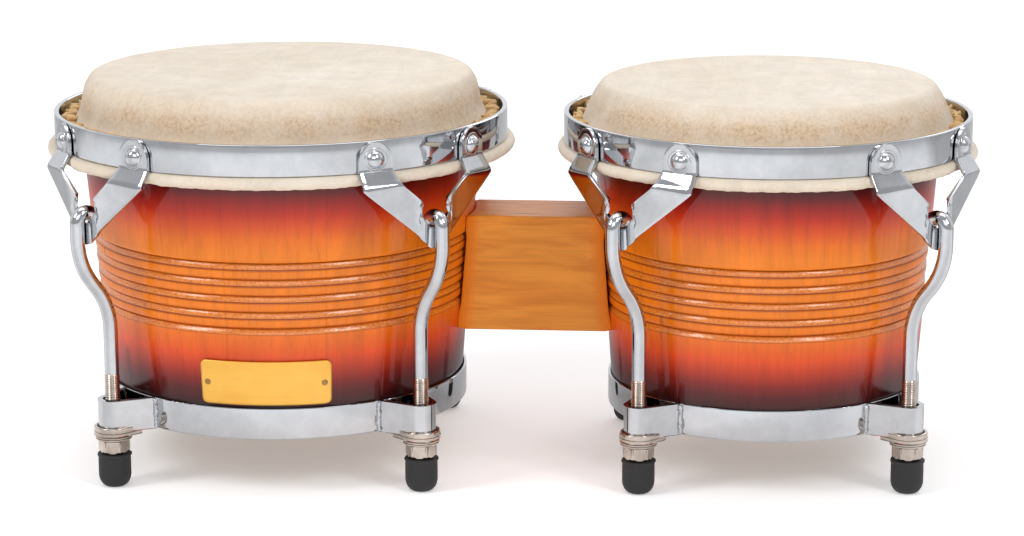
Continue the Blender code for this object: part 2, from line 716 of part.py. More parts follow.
def add_bolts():
    start = plate_x("large") - PLATE_THICKNESS / 2 - GAP
    nut_face = plate_x("small") + PLATE_THICKNESS / 2 + GAP
    length = nut_face + BLOCK_NUT_HEIGHT + BOLT_STUB - start
    profile = [
        (0, length),
        (BOLT_RADIUS, length),
        (BOLT_RADIUS, 0),
        (BOLT_HEAD_RADIUS, 0),
        (BOLT_HEAD_RADIUS, -BOLT_HEAD_HEIGHT + MM),
        (0, -BOLT_HEAD_HEIGHT),
    ]
    along_x = (0, math.pi / 2, 0)
    for level, z in BOLT_HEIGHTS.items():
        mesh = profile_mesh(f"block_bolt_{level}", profile, False)
        bolt = add_part(mesh.name, mesh, steel, (start, 0, z))
        bolt.rotation_euler = along_x
        turn_profile(bolt, SMALL_SEGMENTS)
        mesh = cylinder_mesh(f"block_nut_{level}", BLOCK_NUT_CORNER, BLOCK_NUT_HEIGHT, 6)
        nut = add_part(mesh.name, mesh, steel, (nut_face + BLOCK_NUT_HEIGHT / 2, 0, z))
        nut.rotation_euler = along_x
        bore = cylinder_mesh("bore", BOLT_HOLE, 2 * BLOCK_NUT_HEIGHT)
        combine(nut, add_cutter(f"block_nut_{level}_bore", bore, nut.location, along_x), "DIFFERENCE")


def add_badge():
    """Blank brass plate bent round the large shell, with a pin at each end."""
    mesh = bpy.data.meshes.new("badge")
    shape = bmesh.new()
    grid = []
    for z in (BADGE_BOTTOM, (BADGE_BOTTOM + BADGE_TOP) / 2, BADGE_TOP):
        line = []
        for i in range(BADGE_STEPS + 1):
            angle = math.radians(BADGE_ANGLE + BADGE_HALF_TURN * (2 * i / BADGE_STEPS - 1))
            radius = shell_radius("large", z) + 2 * GAP + BADGE_THICKNESS / 2
            line.append(shape.verts.new((radius * math.cos(angle), radius * math.sin(angle), z)))
        grid.append(line)
    for low, high in zip(grid, grid[1:]):
        for i in range(BADGE_STEPS):
            shape.faces.new((low[i], low[i + 1], high[i + 1], high[i]))
    shape.to_mesh(mesh)
    shape.free()
    badge = add_part("badge", mesh, brass, (drum_x("large"), 0, 0))
    solid = badge.modifiers.new("plate", "SOLIDIFY")
    solid.thickness = BADGE_THICKNESS
    solid.offset = 0.0
    middle = (BADGE_BOTTOM + BADGE_TOP) / 2
    for side in (-1, 1):
        angle = math.radians(BADGE_ANGLE + side * BADGE_PIN_TURN)
        radius = shell_radius("large", middle) + 2 * GAP + BADGE_THICKNESS
        spot = (drum_x("large") + radius * math.cos(angle), radius * math.sin(angle), middle)
        mesh = cylinder_mesh("pin", BADGE_PIN_RADIUS, 2 * BADGE_PIN_RISE, 8)
        pin = add_cutter(f"badge_pin_{'ab'[side > 0]}", mesh, spot, (0, math.pi / 2, angle))
        combine(badge, pin, "UNION")


clear_scene()
parts = make_collection("bongo_drums")
cutters = make_collection("cutters")
lacquer = make_material("sunburst_lacquer", (0.70, 0.20, 0.04), 0.0, 0.08, 1.0)
rawhide = make_material("rawhide", (0.80, 0.66, 0.45), 0.0, 0.6)
chrome = make_material("chrome", (0.80, 0.80, 0.82), 1.0, 0.08)
nickel = make_material("nickel", (0.66, 0.60, 0.54), 1.0, 0.25)
steel = make_material("plain_steel", (0.45, 0.45, 0.46), 1.0, 0.4)
rubber = make_material("black_rubber", (0.02, 0.02, 0.02), 0.0, 0.6)
maple = make_material("honey_maple", (0.62, 0.33, 0.11), 0.0, 0.2, 0.6)
brass = make_material("brass_badge", (0.90, 0.60, 0.15), 1.0, 0.25)

for drum_name in DRUMS:
    add_shell(drum_name)
    add_head(drum_name)
    add_skin_roll(drum_name)
    add_tension_hoop(drum_name)
    add_brackets(drum_name)
    add_rods(drum_name)
    add_bottom_ring(drum_name)
    add_saddles(drum_name)
    add_nuts_and_feet(drum_name)
    add_backing_plate(drum_name)
add_centre_block()
add_bolts()
add_badge()
for part_object in parts.objects:
    if part_object.type == "MESH" and len(part_object.data.polygons):
        shade_round(part_object.data)
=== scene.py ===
"""Looks of the bongo drums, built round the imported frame.

Metres, +X along the pair with the large drum at -X, -Y is the front, +Z up. Places and sizes are
measured on the frame's nodes, and each visible piece replaces the plain node it stands for.
"""

from math import asin, atan2, copysign, cos, hypot, pi, radians, sin, sqrt, tan, tau

import bmesh
import bpy
import numpy as np
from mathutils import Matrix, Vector, noise


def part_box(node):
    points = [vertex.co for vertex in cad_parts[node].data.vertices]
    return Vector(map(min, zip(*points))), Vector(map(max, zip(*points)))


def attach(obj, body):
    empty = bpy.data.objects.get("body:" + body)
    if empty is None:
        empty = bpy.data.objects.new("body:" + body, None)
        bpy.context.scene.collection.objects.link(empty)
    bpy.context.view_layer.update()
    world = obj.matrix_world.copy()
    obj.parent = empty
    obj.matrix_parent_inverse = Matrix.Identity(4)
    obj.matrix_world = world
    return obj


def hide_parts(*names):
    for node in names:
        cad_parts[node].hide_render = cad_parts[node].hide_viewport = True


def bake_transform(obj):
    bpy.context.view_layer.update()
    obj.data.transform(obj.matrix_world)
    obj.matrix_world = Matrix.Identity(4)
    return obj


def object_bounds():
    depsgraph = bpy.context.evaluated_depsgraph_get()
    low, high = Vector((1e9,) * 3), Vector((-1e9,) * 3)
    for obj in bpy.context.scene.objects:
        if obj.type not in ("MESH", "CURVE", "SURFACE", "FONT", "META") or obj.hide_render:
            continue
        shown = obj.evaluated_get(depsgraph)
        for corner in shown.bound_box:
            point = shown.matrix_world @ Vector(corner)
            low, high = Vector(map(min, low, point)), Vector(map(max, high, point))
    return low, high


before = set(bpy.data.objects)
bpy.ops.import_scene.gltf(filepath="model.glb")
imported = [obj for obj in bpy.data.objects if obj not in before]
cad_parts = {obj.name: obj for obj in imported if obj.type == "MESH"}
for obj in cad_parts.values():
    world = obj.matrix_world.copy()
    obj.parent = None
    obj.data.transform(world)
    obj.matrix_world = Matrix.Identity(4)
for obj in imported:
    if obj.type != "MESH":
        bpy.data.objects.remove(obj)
CAD_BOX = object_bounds()
noise.seed_set(7)  # the welds' lumps are the same in every run

MM = 0.001
GAP = 0.3 * MM
LUGS = (1, 2, 3, 4)

# ---- shell ----
SHELL_WALL = 9.0 * MM
SHELL_COLUMNS = 192
GROOVE_DEPTH = 2.0 * MM
GROOVE_COUNT = 5
GROOVE_PITCH = 8.7 * MM
GROOVES_BELOW_TOP = 82.4 * MM  # first groove, below the top of the wood
STAVES = 12
STAVE_START = STAVES + 0.3     # keeps the seams off the badge, and the count above zero
SUNBURST_AND_ROLL_SHADOW = (                   # height from the foot ring to the roll, sRGB; the darkest stops just under the roll are partly painted shadow of the roll
    (0.00, 50, 18, 18), (0.07, 88, 22, 20), (0.12, 132, 30, 22), (0.18, 187, 56, 24),
    (0.23, 220, 76, 22), (0.285, 224, 98, 20), (0.38, 233, 122, 20), (0.68, 233, 124, 20),
    (0.74, 228, 110, 20), (0.80, 214, 78, 20), (0.855, 190, 46, 20), (0.905, 158, 30, 20),
    (0.955, 105, 22, 20), (1.00, 60, 18, 18),
)
SUNBURST_RISE = {"large": 1.0, "small": 1.02}

# ---- head ----
SKIN = 1.1 * MM
SHOULDER = 5.0 * MM            # radius of the bend over the bearing edge
ROLL_RADIUS = 3.0 * MM
ROLL_BULGE = {"large": 2.2 * MM, "small": 1.3 * MM}
SWELL = {"large": 1.3 * MM, "small": 0.8 * MM}  # how far the shoulder stands out
SKIN_SEED = {"large": 3.0, "small": 11.0}
PLEAT_LENGTH = 9.5 * MM
SKIN_COLUMNS = 640

# ---- tension hoop and bracket ----
HOOP_WALL = 2.7 * MM
STRIP = 2.0 * MM
TAB_HALF = 9.2 * MM
TAB_REACH = 31.4 * MM          # rivet from the lug's middle line
RIVET_BELOW_HOOP_TOP = 9.5 * MM
RIVET_PROFILE = (              # radius and height over the tab, mm: dome, then a thin washer
    (0.0, 3.1), (1.2, 3.0), (2.3, 2.65), (3.3, 2.0), (4.1, 1.2), (4.55, 0.45), (4.7, 0.12),
    (5.1, 0.05), (5.6, 0.22), (6.0, 0.25), (6.3, 0.12), (6.4, -0.4),
)
JOGGLE_TOP = 174.0 * MM
JOGGLE_BOTTOM = 165.6 * MM
FOLD_TOP = 142.8 * MM
FOLD_BOTTOM = 131.7 * MM
NOTCH = (                      # mm: upper edge's across and z, lower edge's z and across, set back
    (8.7, 154.6, 138.8, 10.6, 0.8), (9.5, 153.2, 138.1, 10.1, 0.85),
    (9.9, 151.7, 137.4, 9.5, 0.85), (9.4, 150.0, 136.7, 8.8, 0.8),
    (8.2, 148.4, 136.0, 7.9, 0.7), (6.6, 146.6, 135.2, 6.8, 0.65),
    (5.1, 144.4, 134.4, 5.6, 0.62),
)

# ---- rod and nut ----
BAR = 3.45 * MM                # radius of the frame's plain rod
SHANK = 3.75 * MM
THREAD = 4.1 * MM
THREAD_PITCH = 1.25 * MM
THREAD_DEPTH = 0.55 * MM
THREAD_TOP = 61.7 * MM
BEND_TOP = 121.0 * MM
BEND_BOTTOM = 97.0 * MM
BEND_RADIUS = 38.0 * MM
HOOK_TIP = 138.0 * MM
HOOK = 5.4 * MM
NUT_PHASES = (18.0, 40.0, 7.0, 29.0)  # degrees from the lug's own direction
NUT_CORNER = 8.2 * MM
# the nut's outline from its foot: mm above it, radius, and 1 where it is cut to a hexagon
NUT_LOWER = ((0, 6.6, 0), (0.3, 7.15, 1), (1.0, 8.3, 1))
NUT_UPPER = (                  # mm below its top: end of the hexagon, neck, flange, groove, washer
    (3.4, 8.3, 1), (2.9, 7.6, 1), (2.6, 7.2, 0), (2.3, 9.2, 0), (2.0, 9.5, 0), (1.3, 9.6, 0),
    (1.15, 8.9, 0), (1.0, 9.5, 0), (0.3, 9.6, 0), (0, 9.2, 0),
)

# ---- ring, loops, saddles and feet ----
RING_WALL = 1.4 * MM
RING_LIP = 6.0 * MM
LOOP_NOSE = 5.6 * MM
LOOP_STRIP = 2.2 * MM
LOOP_BASE = 12.0 * MM
WELD_BEADS = 14
SADDLE_PLATE = 2.0 * MM
SADDLE_LIP = 1.6 * MM
FOOT_RADIUS = 8.5 * MM
FOOT_FLAT = 3.7 * MM
FOOT_CURVE = 6.6 * MM
# mm beyond the foot's radius, and mm below its top
FOOT_RIM = ((-0.9, 0.2), (0.3, 0.3), (0.5, 0.8), (0.4, 1.4), (-0.1, 1.9), (0, 4.0))

# ---- block and badge ----
BLOCK_EASE = 3.0 * MM
BLOCK_LEVELS = 14
BADGE_CORNER = 3.4 * MM
BADGE_GRID = (72, 28)
PIN_ALONG = 0.445              # from the badge's middle, as a share of its length

# ---- stage ----
FLOOR_HALF = 30.0
LIGHTS = (                     # name, place, size and power
    ("key", (-1.45, -0.95, 1.55), (0.6, 0.9), 14.5),
    ("fill", (1.25, -1.2, 1.55), (0.5, 0.9), 11.0),
    ("front", (0.1, -2.4, 1.5), (2.0, 1.2), 12.0),
    ("top", (0.0, 0.25, 2.3), (2.2, 1.6), 13.0),
    ("rim", (0.6, 1.9, 1.2), (1.8, 0.8), 8.0),
)
CAMERA_DISTANCE = 1.6191
CAMERA_LENS = 105.47           # mm, on a sensor 36 mm wide
CAMERA_DOWN, CAMERA_TURN, CAMERA_ROLL = 12.93, 4.64, -0.113  # degrees


# ---- measuring the frame ----

def node_points(node):
    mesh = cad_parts[node].data
    points = np.empty(len(mesh.vertices) * 3)
    mesh.vertices.foreach_get("co", points)
    return points.reshape(-1, 3)


class Drum:
    """Driving sizes of one drum, read from its nodes."""

    def __init__(self, name):
        self.name = name
        self.tuning = f"{name}_tension_set"
        low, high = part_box(f"{name}_tension_hoop")
        self.x = (low.x + high.x) / 2
        self.hoop_radius = (high.x - low.x) / 2
        self.hoop_bottom, self.hoop_top = low.z, high.z
        self.lean = asin(TAB_REACH / self.hoop_radius)
        self.rivet_z = self.hoop_top - RIVET_BELOW_HOOP_TOP
        low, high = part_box(f"{name}_skin_roll")
        self.roll_radius = (high.x - low.x) / 2
        low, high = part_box(f"{name}_flesh_hoop")
        self.roll_z = (low.z + high.z) / 2
        self.head_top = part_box(f"{name}_drumhead")[1].z
        low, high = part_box(f"{name}_shell")
        self.shell_bottom, self.shell_top = low.z, high.z
        points, radii = self.radii("shell")
        foot = radii[points[:, 2] < low.z + MM].max()
        crown = radii.max()
        crown_z = points[radii > crown - 0.01 * MM, 2].mean()
        self.taper = (crown - foot) / (crown_z - low.z)
        self.shell_base = foot - self.taper * low.z
        edge = radii[points[:, 2] > high.z - 0.1 * MM].max()
        self.edge_radius = edge + 6.6 * MM
        self.skin_low = self.roll_radius - 2 * ROLL_RADIUS
        points, radii = self.radii("drumhead")
        self.collar_radius = radii[np.abs(points[:, 2] - self.hoop_top) < MM].max()
        low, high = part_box(f"{name}_bottom_ring")
        self.ring_bottom, self.ring_top = low.z, high.z
        self.ring_radius = self.radii("bottom_ring")[1].min() + RING_LIP + RING_WALL
        self.turns = []
        for lug in LUGS:
            low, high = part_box(f"{name}_nut_{lug}")
            middle = (low + high) / 2
            self.turns.append(atan2(middle.y, middle.x - self.x))
        self.rod_foot = hypot(middle.x - self.x, middle.y)
        self.nut_bottom, self.nut_top = (corner.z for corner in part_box(f"{name}_nut_1"))
        points = node_points(f"{name}_rod_1")
        turn = self.turns[0]
        radial = (points[:, 0] - self.x) * cos(turn) + points[:, 1] * sin(turn)
        self.rod_top = radial.max() - BAR
        self.saddle_bottom, self.saddle_top = (corner.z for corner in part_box(f"{name}_saddle_1"))
        self.foot_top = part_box(f"{name}_foot_1")[1].z
        self.fold = self.rod_top - SHANK - GAP - STRIP / 2

    def radii(self, part):
        """A node's points, and how far each is from the drum's axis."""
        points = node_points(f"{self.name}_{part}")
        return points, np.hypot(points[:, 0] - self.x, points[:, 1])

    def shell_radius(self, z):
        return self.shell_base + self.taper * z

    def cone_radius(self, z):
        """Outer surface of the skin below the bearing edge."""
        shoulder = (self.edge_radius + 1.2 * MM, self.head_top - 4.5 * MM)
        middle = (self.collar_radius, self.hoop_top)
        low = (self.skin_low + SKIN, self.roll_z)
        (r0, z0), (r1, z1) = (shoulder, middle) if z > middle[1] else (middle, low)
        return r0 + (r1 - r0) * (z - z0) / (z1 - z0)

    def place(self, turn, radial, across, z):
        """A point given in a lug's own directions."""
        return Vector((
            self.x + radial * cos(turn) - across * sin(turn),
            radial * sin(turn) + across * cos(turn),
            z,
        ))


DRUMS = [Drum("large"), Drum("small")]


# ---- shader helpers ----

def linear(r, g, b):
    """An sRGB colour from 0 to 255 as the linear values that a shader takes."""
    out = []
    for value in (r, g, b):
        v = value / 255
        out.append(v / 12.92 if v <= 0.04045 else ((v + 0.055) / 1.055) ** 2.4)
    return (*out, 1.0)


def paint(colour):
    """Three values are sRGB from 0 to 255, four are linear RGBA, and one is a grey."""
    if not hasattr(colour, "__len__"):
        return (colour,) * 3 + (1,)
    return linear(*colour) if len(colour) == 3 else colour


class Nodes:
    """Short calls for the nodes of a material or a world."""

    def __init__(self, owner):
        owner.use_nodes = True
        self.tree = owner.node_tree

    def node(self, kind, inputs=None, **settings):
        made = self.tree.nodes.new(f"ShaderNode{kind}")
        for key, value in settings.items():
            setattr(made, key, value)
        self.fill(made, inputs or {})
        return made

    def fill(self, node, inputs):
        for key, value in inputs.items():
            if isinstance(value, bpy.types.NodeSocket):
                self.tree.links.new(value, node.inputs[key])
            else:
                node.inputs[key].default_value = value

    def math(self, operation, a, b=0.0, clamp=False):
        made = self.node("Math", {0: a, 1: b}, operation=operation, use_clamp=clamp)
        return made.outputs[0]

    def times(self, a, b, clamp=False):
        return self.math("MULTIPLY", a, b, clamp)

    def plus(self, a, b):
        return self.math("ADD", a, b)

    def ramp(self, value, *stops):
        """Stops are (position, colour)."""
        made = self.node("ValToRGB", {"Fac": value})
        items = made.color_ramp.elements
        while len(items) < len(stops):
            items.new(0.5)
        for item, (position, colour) in zip(items, stops):
            item.position = position
            item.color = paint(colour)
        return made.outputs["Color"]

    def spread(self, value, low, high, start=0.0, end=1.0):
        inputs = {"Value": value, 1: start, 2: end, 3: low, 4: high}
        return self.node("MapRange", inputs).outputs["Result"]


class Shader(Nodes):
    """A Principled material."""

    def __init__(self, name, **constants):
        self.material = bpy.data.materials.new(name)
        super().__init__(self.material)
        self.out = self.tree.nodes["Principled BSDF"]
        for socket, value in constants.items():
            self.out.inputs[socket.replace("_", " ")].default_value = value
        self.position = self.node("TexCoord").outputs["Object"]

    def link(self, value, socket):
        self.tree.links.new(value, self.out.inputs[socket])

    def scaled(self, scale, shift=(0, 0, 0)):
        inputs = {"Vector": self.position, "Scale": scale, "Location": shift}
        return self.node("Mapping", inputs).outputs["Vector"]

    def noise(self, scale, detail=3.0, rough=0.5, stretch=(1, 1, 1), warp=0.0):
        inputs = {
            "Vector": self.scaled(stretch),
            "Scale": scale,
            "Detail": detail,
            "Roughness": rough,
            "Distortion": warp,
        }
        return self.node("TexNoise", inputs).outputs["Fac"]

    def mix(self, share, a, b, mode="MIX"):
        made = self.node("Mix", data_type="RGBA", blend_type=mode)
        colours = [v if isinstance(v, bpy.types.NodeSocket) else paint(v) for v in (a, b)]
        self.fill(made, {0: share, 6: colours[0], 7: colours[1]})
        return made.outputs[2]

    def between(self, value, low, high, a, b):
        """From colour a where the value is low to colour b where it is high."""
        return self.mix(self.ramp(value, (low, 0.0), (high, 1.0)), a, b)

    def shade(self, base, share, value, *stops):
        """The base darkened or lightened by a ramp, by a share of it."""
        return self.mix(share, base, self.ramp(value, *stops), "MULTIPLY")

    def attribute(self, name):
        return self.node("Attribute", attribute_name=name).outputs["Fac"]

    def bump(self, height, strength, distance, onto=None):
        inputs = {"Height": height, "Strength": strength, "Distance": distance}
        if onto is not None:
            inputs["Normal"] = onto
        return self.node("Bump", inputs).outputs["Normal"]


# ---- materials ----

def lacquered_shell(drum):
    """Sunburst lacquer: amber in the middle, through red to near black at both ends; the band just
    under the roll is darker partly as painted shadow of the roll. The up-facing bead slopes are
    painted lighter, partly as painted light, and the dark lines at the grooves are painted shade in
    part.
    """
    s = Shader(f"sunburst_{drum.name}", IOR=1.5, Specular_IOR_Level=0.1, Coat_Roughness=0.02,
               Coat_IOR=1.8)
    axis = s.node("SeparateXYZ", {"Vector": s.scaled((1, 1, 1), (-drum.x, 0, 0))})
    angle = s.math("ARCTAN2", axis.outputs["Y"], axis.outputs["X"])
    cloud = s.spread(s.noise(9.0, 2.0), -0.03, 0.03)
    height = s.spread(axis.outputs["Z"], 0.0, SUNBURST_RISE[drum.name], drum.ring_top,
                      drum.roll_z - ROLL_RADIUS)
    # the sunburst by height; its top end stands partly for painted shadow under the roll
    burst_and_roll_shadow = s.ramp(s.plus(height, cloud), *((at, colour) for at, *colour in SUNBURST_AND_ROLL_SHADOW))
    around = s.times(angle, STAVES / tau)
    stave = s.math("FLOOR", s.plus(around, STAVE_START))
    tint = s.node("TexWhiteNoise", {"W": stave}, noise_dimensions="1D").outputs["Value"]
    seam = s.math("FRACT", s.plus(around, STAVE_START))
    seam = s.math("MINIMUM", seam, s.math("SUBTRACT", 1.0, seam))
    streak = s.noise(260.0, 6.0, 0.65, (1, 1, 0.035), 0.3)
    figure = s.noise(42.0, 4.0, 0.55, (1, 1, 0.22), 1.2)
    pores = s.noise(900.0, 3.0, 0.6, (1, 1, 0.02))
    grain = s.ramp(streak, (0.28, 0.84), (0.50, 1.0), (0.78, 1.05))
    grain = s.shade(grain, 1.0, figure, (0.3, 0.88), (0.7, 1.08))
    grain = s.shade(grain, 1.0, tint, (0.0, 0.94), (1.0, 1.06))
    grain = s.shade(grain, 0.28, pores, (0.34, 0.72), (0.46, 1.0))
    grain = s.shade(grain, 1.0, s.noise(85.0, 2.0, 0.5, (1, 1, 0.16)), (0.72, 1.0), (0.76, 0.62))
    colour = s.mix(1.0, burst_and_roll_shadow, grain, "MULTIPLY")
    colour = s.shade(colour, 1.0, seam, (0.0, 0.84), (0.004, 0.88), (0.010, 1.0))
    dust = s.noise(700.0, 4.0, 0.7, (1, 1, 2.2))
    # painted light: the up-facing bead slopes are painted lighter, partly for sanded end grain and
    # partly for light from above
    sanded_and_lit = s.between(dust, 0.36, 0.62, (188, 84, 14), (238, 150, 54))
    colour = s.mix(s.times(s.attribute("slope"), 0.75, True), colour, sanded_and_lit)
    # painted shade: dark lines under the grooves' top edges; below each slope the line is partly
    # pooled lacquer and partly painted shade
    colour = s.mix(s.attribute("line"), colour, (104, 22, 8))
    raw = s.between(streak, 0.3, 0.7, (196, 148, 92), (226, 186, 130))
    s.link(s.mix(s.attribute("inside"), colour, raw), "Base Color")
    s.link(s.spread(s.attribute("inside"), 0.32, 0.75), "Roughness")
    gloss = s.spread(s.attribute("slope"), 0.30, 0.75)
    s.link(s.times(gloss, s.spread(s.attribute("inside"), 1.0, 0.0)), "Coat Weight")
    rough_slope = s.times(s.noise(620.0, 3.0, 0.6), s.attribute("slope"))
    wave = s.bump(s.noise(14.0, 2.0), 0.25, 0.4 * MM)
    s.link(s.bump(rough_slope, 0.7, 0.4 * MM, wave), "Normal")
    s.link(s.bump(rough_slope, 0.6, 0.3 * MM, wave), "Coat Normal")
    return s.material


def rawhide(drum):
    """Cream skin, browner over the shoulder, partly its own tone and partly painted shade, most on
    the roll's underside; golden on the trimmed pleats, with painted shade in their creases.
    """
    s = Shader(f"rawhide_{drum.name}", IOR=1.45, Specular_IOR_Level=0.35, Subsurface_Weight=0.12,
               Subsurface_Radius=(0.004, 0.002, 0.001))
    cloud = s.noise(16.0, 5.0, 0.6, warp=0.6)
    mottle = s.noise(90.0, 5.0, 0.65)
    pores = s.node("TexVoronoi", {"Vector": s.position, "Scale": 900.0}).outputs["Distance"]
    fibre = s.noise(55.0, 6.0, 0.7, (1.0, 0.22, 1.0), 1.5)
    base = s.between(cloud, 0.32, 0.68, (224, 210, 190), (236, 226, 211))
    base = s.shade(base, 0.8, mottle, (0.30, 0.88), (0.62, 1.03))
    base = s.shade(base, 0.5, fibre, (0.34, 0.86), (0.60, 1.02))
    base = s.shade(base, 0.5, pores, (0.0, 0.80), (0.45, 1.0))
    brown = s.between(s.noise(520.0, 5.0, 0.8), 0.44, 0.70, (218, 194, 164), (176, 142, 112))
    patch = s.ramp(s.noise(38.0, 3.0, 0.6), (0.34, 0.55), (0.62, 1.3))
    # shoulder mark: the hide's own browner tone, with painted shade down the collar and most on the
    # roll's underside
    share = s.times(s.attribute("shoulder"), s.spread(mottle, 0.45, 1.25), True)
    base = s.mix(s.times(share, patch, True), base, brown)
    gold = s.between(mottle, 0.35, 0.65, (206, 158, 98), (238, 208, 158))
    base = s.mix(s.attribute("pleat"), base, gold)
    # painted shade in the pleats' creases
    s.link(s.mix(s.attribute("crease_shade"), base, (132, 92, 52)), "Base Color")
    s.link(s.spread(mottle, 0.48, 0.70), "Roughness")
    height = s.plus(s.times(mottle, 0.7), s.times(pores, 0.3))
    s.link(s.bump(s.plus(height, fibre), 0.45, 0.25 * MM), "Normal")
    return s.material


def plated(name, colour, dark, roughness, speckle, ripple):
    """Plated metal: faint orange peel, fine scratches and small dull specks."""
    s = Shader(name, Metallic=1.0)
    cloud = s.noise(120.0, 4.0, 0.6)
    specks = s.ramp(s.noise(700.0, 3.0, 0.8), (0.66, 0.0), (0.76, 1.0))
    share = s.times(specks, speckle, True)
    tone = s.between(cloud, 0.3, 0.7, dark, colour)
    dull = tuple(v * 0.45 for v in linear(*dark)[:3]) + (1,)
    s.link(s.mix(share, tone, dull), "Base Color")
    scratches = s.noise(600.0, 3.0, 0.6, (1, 1, 0.06))
    wear = s.spread(s.plus(cloud, scratches), roughness * 0.7, roughness * 1.4, 0.6, 1.4)
    s.link(wear, "Roughness")
    s.link(s.bump(s.noise(60.0, 3.0), 0.35, ripple), "Normal")
    return s.material


def rubber():
    """Matt black, with a fine grain and a little dust."""
    s = Shader("black_rubber", IOR=1.5)
    grain = s.noise(1300.0, 4.0, 0.7)
    dust = s.ramp(s.noise(380.0, 4.0, 0.8), (0.66, 0.0), (0.80, 1.0))
    s.link(s.mix(s.times(dust, 0.35), (38, 37, 37), (92, 90, 88)), "Base Color")
    s.link(s.spread(grain, 0.55, 0.8), "Roughness")
    s.link(s.bump(grain, 0.55, 0.15 * MM), "Normal")
    return s.material


def honey_wood():
    """Straight-grained block along X with soft figure, a few dark flecks and a thin gloss coat."""
    s = Shader("honey_wood", IOR=1.5, Specular_IOR_Level=0.12, Coat_Weight=0.12,
               Coat_Roughness=0.07, Coat_IOR=1.45)
    tilt = s.node("Mapping", {
        "Vector": s.position,
        "Rotation": (0.0, radians(-4), 0.0),
        "Scale": (0.16, 0.7, 1.0),
    }).outputs["Vector"]
    bands = s.node("TexNoise", {
        "Vector": tilt,
        "Scale": 150.0,
        "Detail": 4.0,
        "Distortion": 0.7,
    }).outputs["Fac"]
    broad = s.noise(24.0, 3.0, 0.5, (0.45, 0.8, 1.0), 0.8)
    fine = s.noise(1100.0, 4.0, 0.6, (0.03, 1, 1))
    colour = s.between(bands, 0.34, 0.60, (218, 130, 46), (236, 152, 58))
    colour = s.shade(colour, 0.8, broad, (0.32, 0.86), (0.64, 1.05))
    colour = s.shade(colour, 0.85, fine, (0.30, 0.88), (0.62, 1.04))
    fleck = s.ramp(s.noise(95.0, 2.0, 0.5, (0.13, 1, 1), 0.3), (0.715, 0.0), (0.755, 1.0))
    colour = s.mix(s.times(fleck, 0.7), colour, (118, 44, 22))
    colour = s.mix(s.times(s.attribute("ease"), 0.8), colour, (226, 122, 14))
    s.link(colour, "Base Color")
    s.link(s.spread(fine, 0.32, 0.46), "Roughness")
    s.link(s.bump(s.plus(fine, bands), 0.12, 0.15 * MM), "Normal")
    return s.material


def gold_plate():
    """Blank satin plate with a fine horizontal brush."""
    s = Shader("gold_plate", Metallic=0.35, IOR=1.5, Coat_Weight=0.4, Coat_Roughness=0.1)
    brush = s.noise(900.0, 4.0, 0.6, (0.03, 0.03, 1.0))
    tone = s.between(s.noise(45.0, 3.0), 0.3, 0.7, (233, 168, 54), (243, 186, 76))
    tone = s.shade(tone, 0.5, brush, (0.35, 0.92), (0.65, 1.03))
    s.link(tone, "Base Color")
    s.link(s.spread(brush, 0.26, 0.42), "Roughness")
    s.link(s.bump(brush, 0.12, 0.05 * MM), "Normal")
    return s.material


# ---- mesh helpers ----

def mesh_piece(name, points, faces, material, angle=32, marks=None):
    """An object from points and faces, shaded smooth but for its sharp edges."""
    mesh = bpy.data.meshes.new(name)
    mesh.from_pydata([tuple(p) for p in points], [], faces)
    shape = bmesh.new()
    shape.from_mesh(mesh)
    bmesh.ops.recalc_face_normals(shape, faces=shape.faces)
    shape.to_mesh(mesh)
    shape.free()
    mesh.materials.append(material)
    mesh.shade_smooth()
    if angle:
        mesh.set_sharp_from_angle(angle=radians(angle))
    for mark, values in (marks or {}).items():
        layer = mesh.attributes.new(mark, "FLOAT", "POINT")
        layer.data.foreach_set("value", np.asarray(values, np.float32).ravel())
    piece = bpy.data.objects.new(name, mesh)
    bpy.context.scene.collection.objects.link(piece)
    return piece


def grid_faces(rows, columns, wrap_rows=False, wrap_columns=True, offset=0):
    faces = []
    for i in range(rows if wrap_rows else rows - 1):
        for j in range(columns if wrap_columns else columns - 1):
            k, m = (i + 1) % rows, (j + 1) % columns
            faces.append((offset + i * columns + j, offset + i * columns + m,
                          offset + k * columns + m, offset + k * columns + j))
    return faces


def capped_faces(rows, columns):
    """Faces of a closed stack of rings."""
    last = (rows - 1) * columns
    return grid_faces(rows, columns) + [tuple(range(columns)), tuple(range(last, last + columns))]


def rounded(points, radius, steps=3):
    """A closed outline with rounded corners; radius may be one value or one per point."""
    count = len(points)
    sizes = radius if hasattr(radius, "__len__") else [radius] * count
    out = []
    for i, point in enumerate(points):
        corner = Vector(point)
        before = Vector(points[i - 1]) - corner
        after = Vector(points[(i + 1) % count]) - corner
        turn = pi - before.angle(after)
        cut = min(sizes[i] * tan(turn / 2), before.length * 0.45, after.length * 0.45)
        start, end = corner + before.normalized() * cut, corner + after.normalized() * cut
        for step in range(steps + 1):
            t = step / steps
            out.append(start.lerp(corner, t).lerp(corner.lerp(end, t), t))
    return out


def arc(centre, radius, start, end, steps, squash=1.0):
    points = []
    for i in range(steps + 1):
        angle = radians(start + (end - start) * i / steps)
        points.append(Vector((centre[0] + radius * squash * cos(angle),
                              centre[1] + radius * sin(angle))))
    return points


def mirrored(half):
    """An outline from its half at positive Y."""
    return half + [Vector((p.x, -p.y)) for p in reversed(half)]


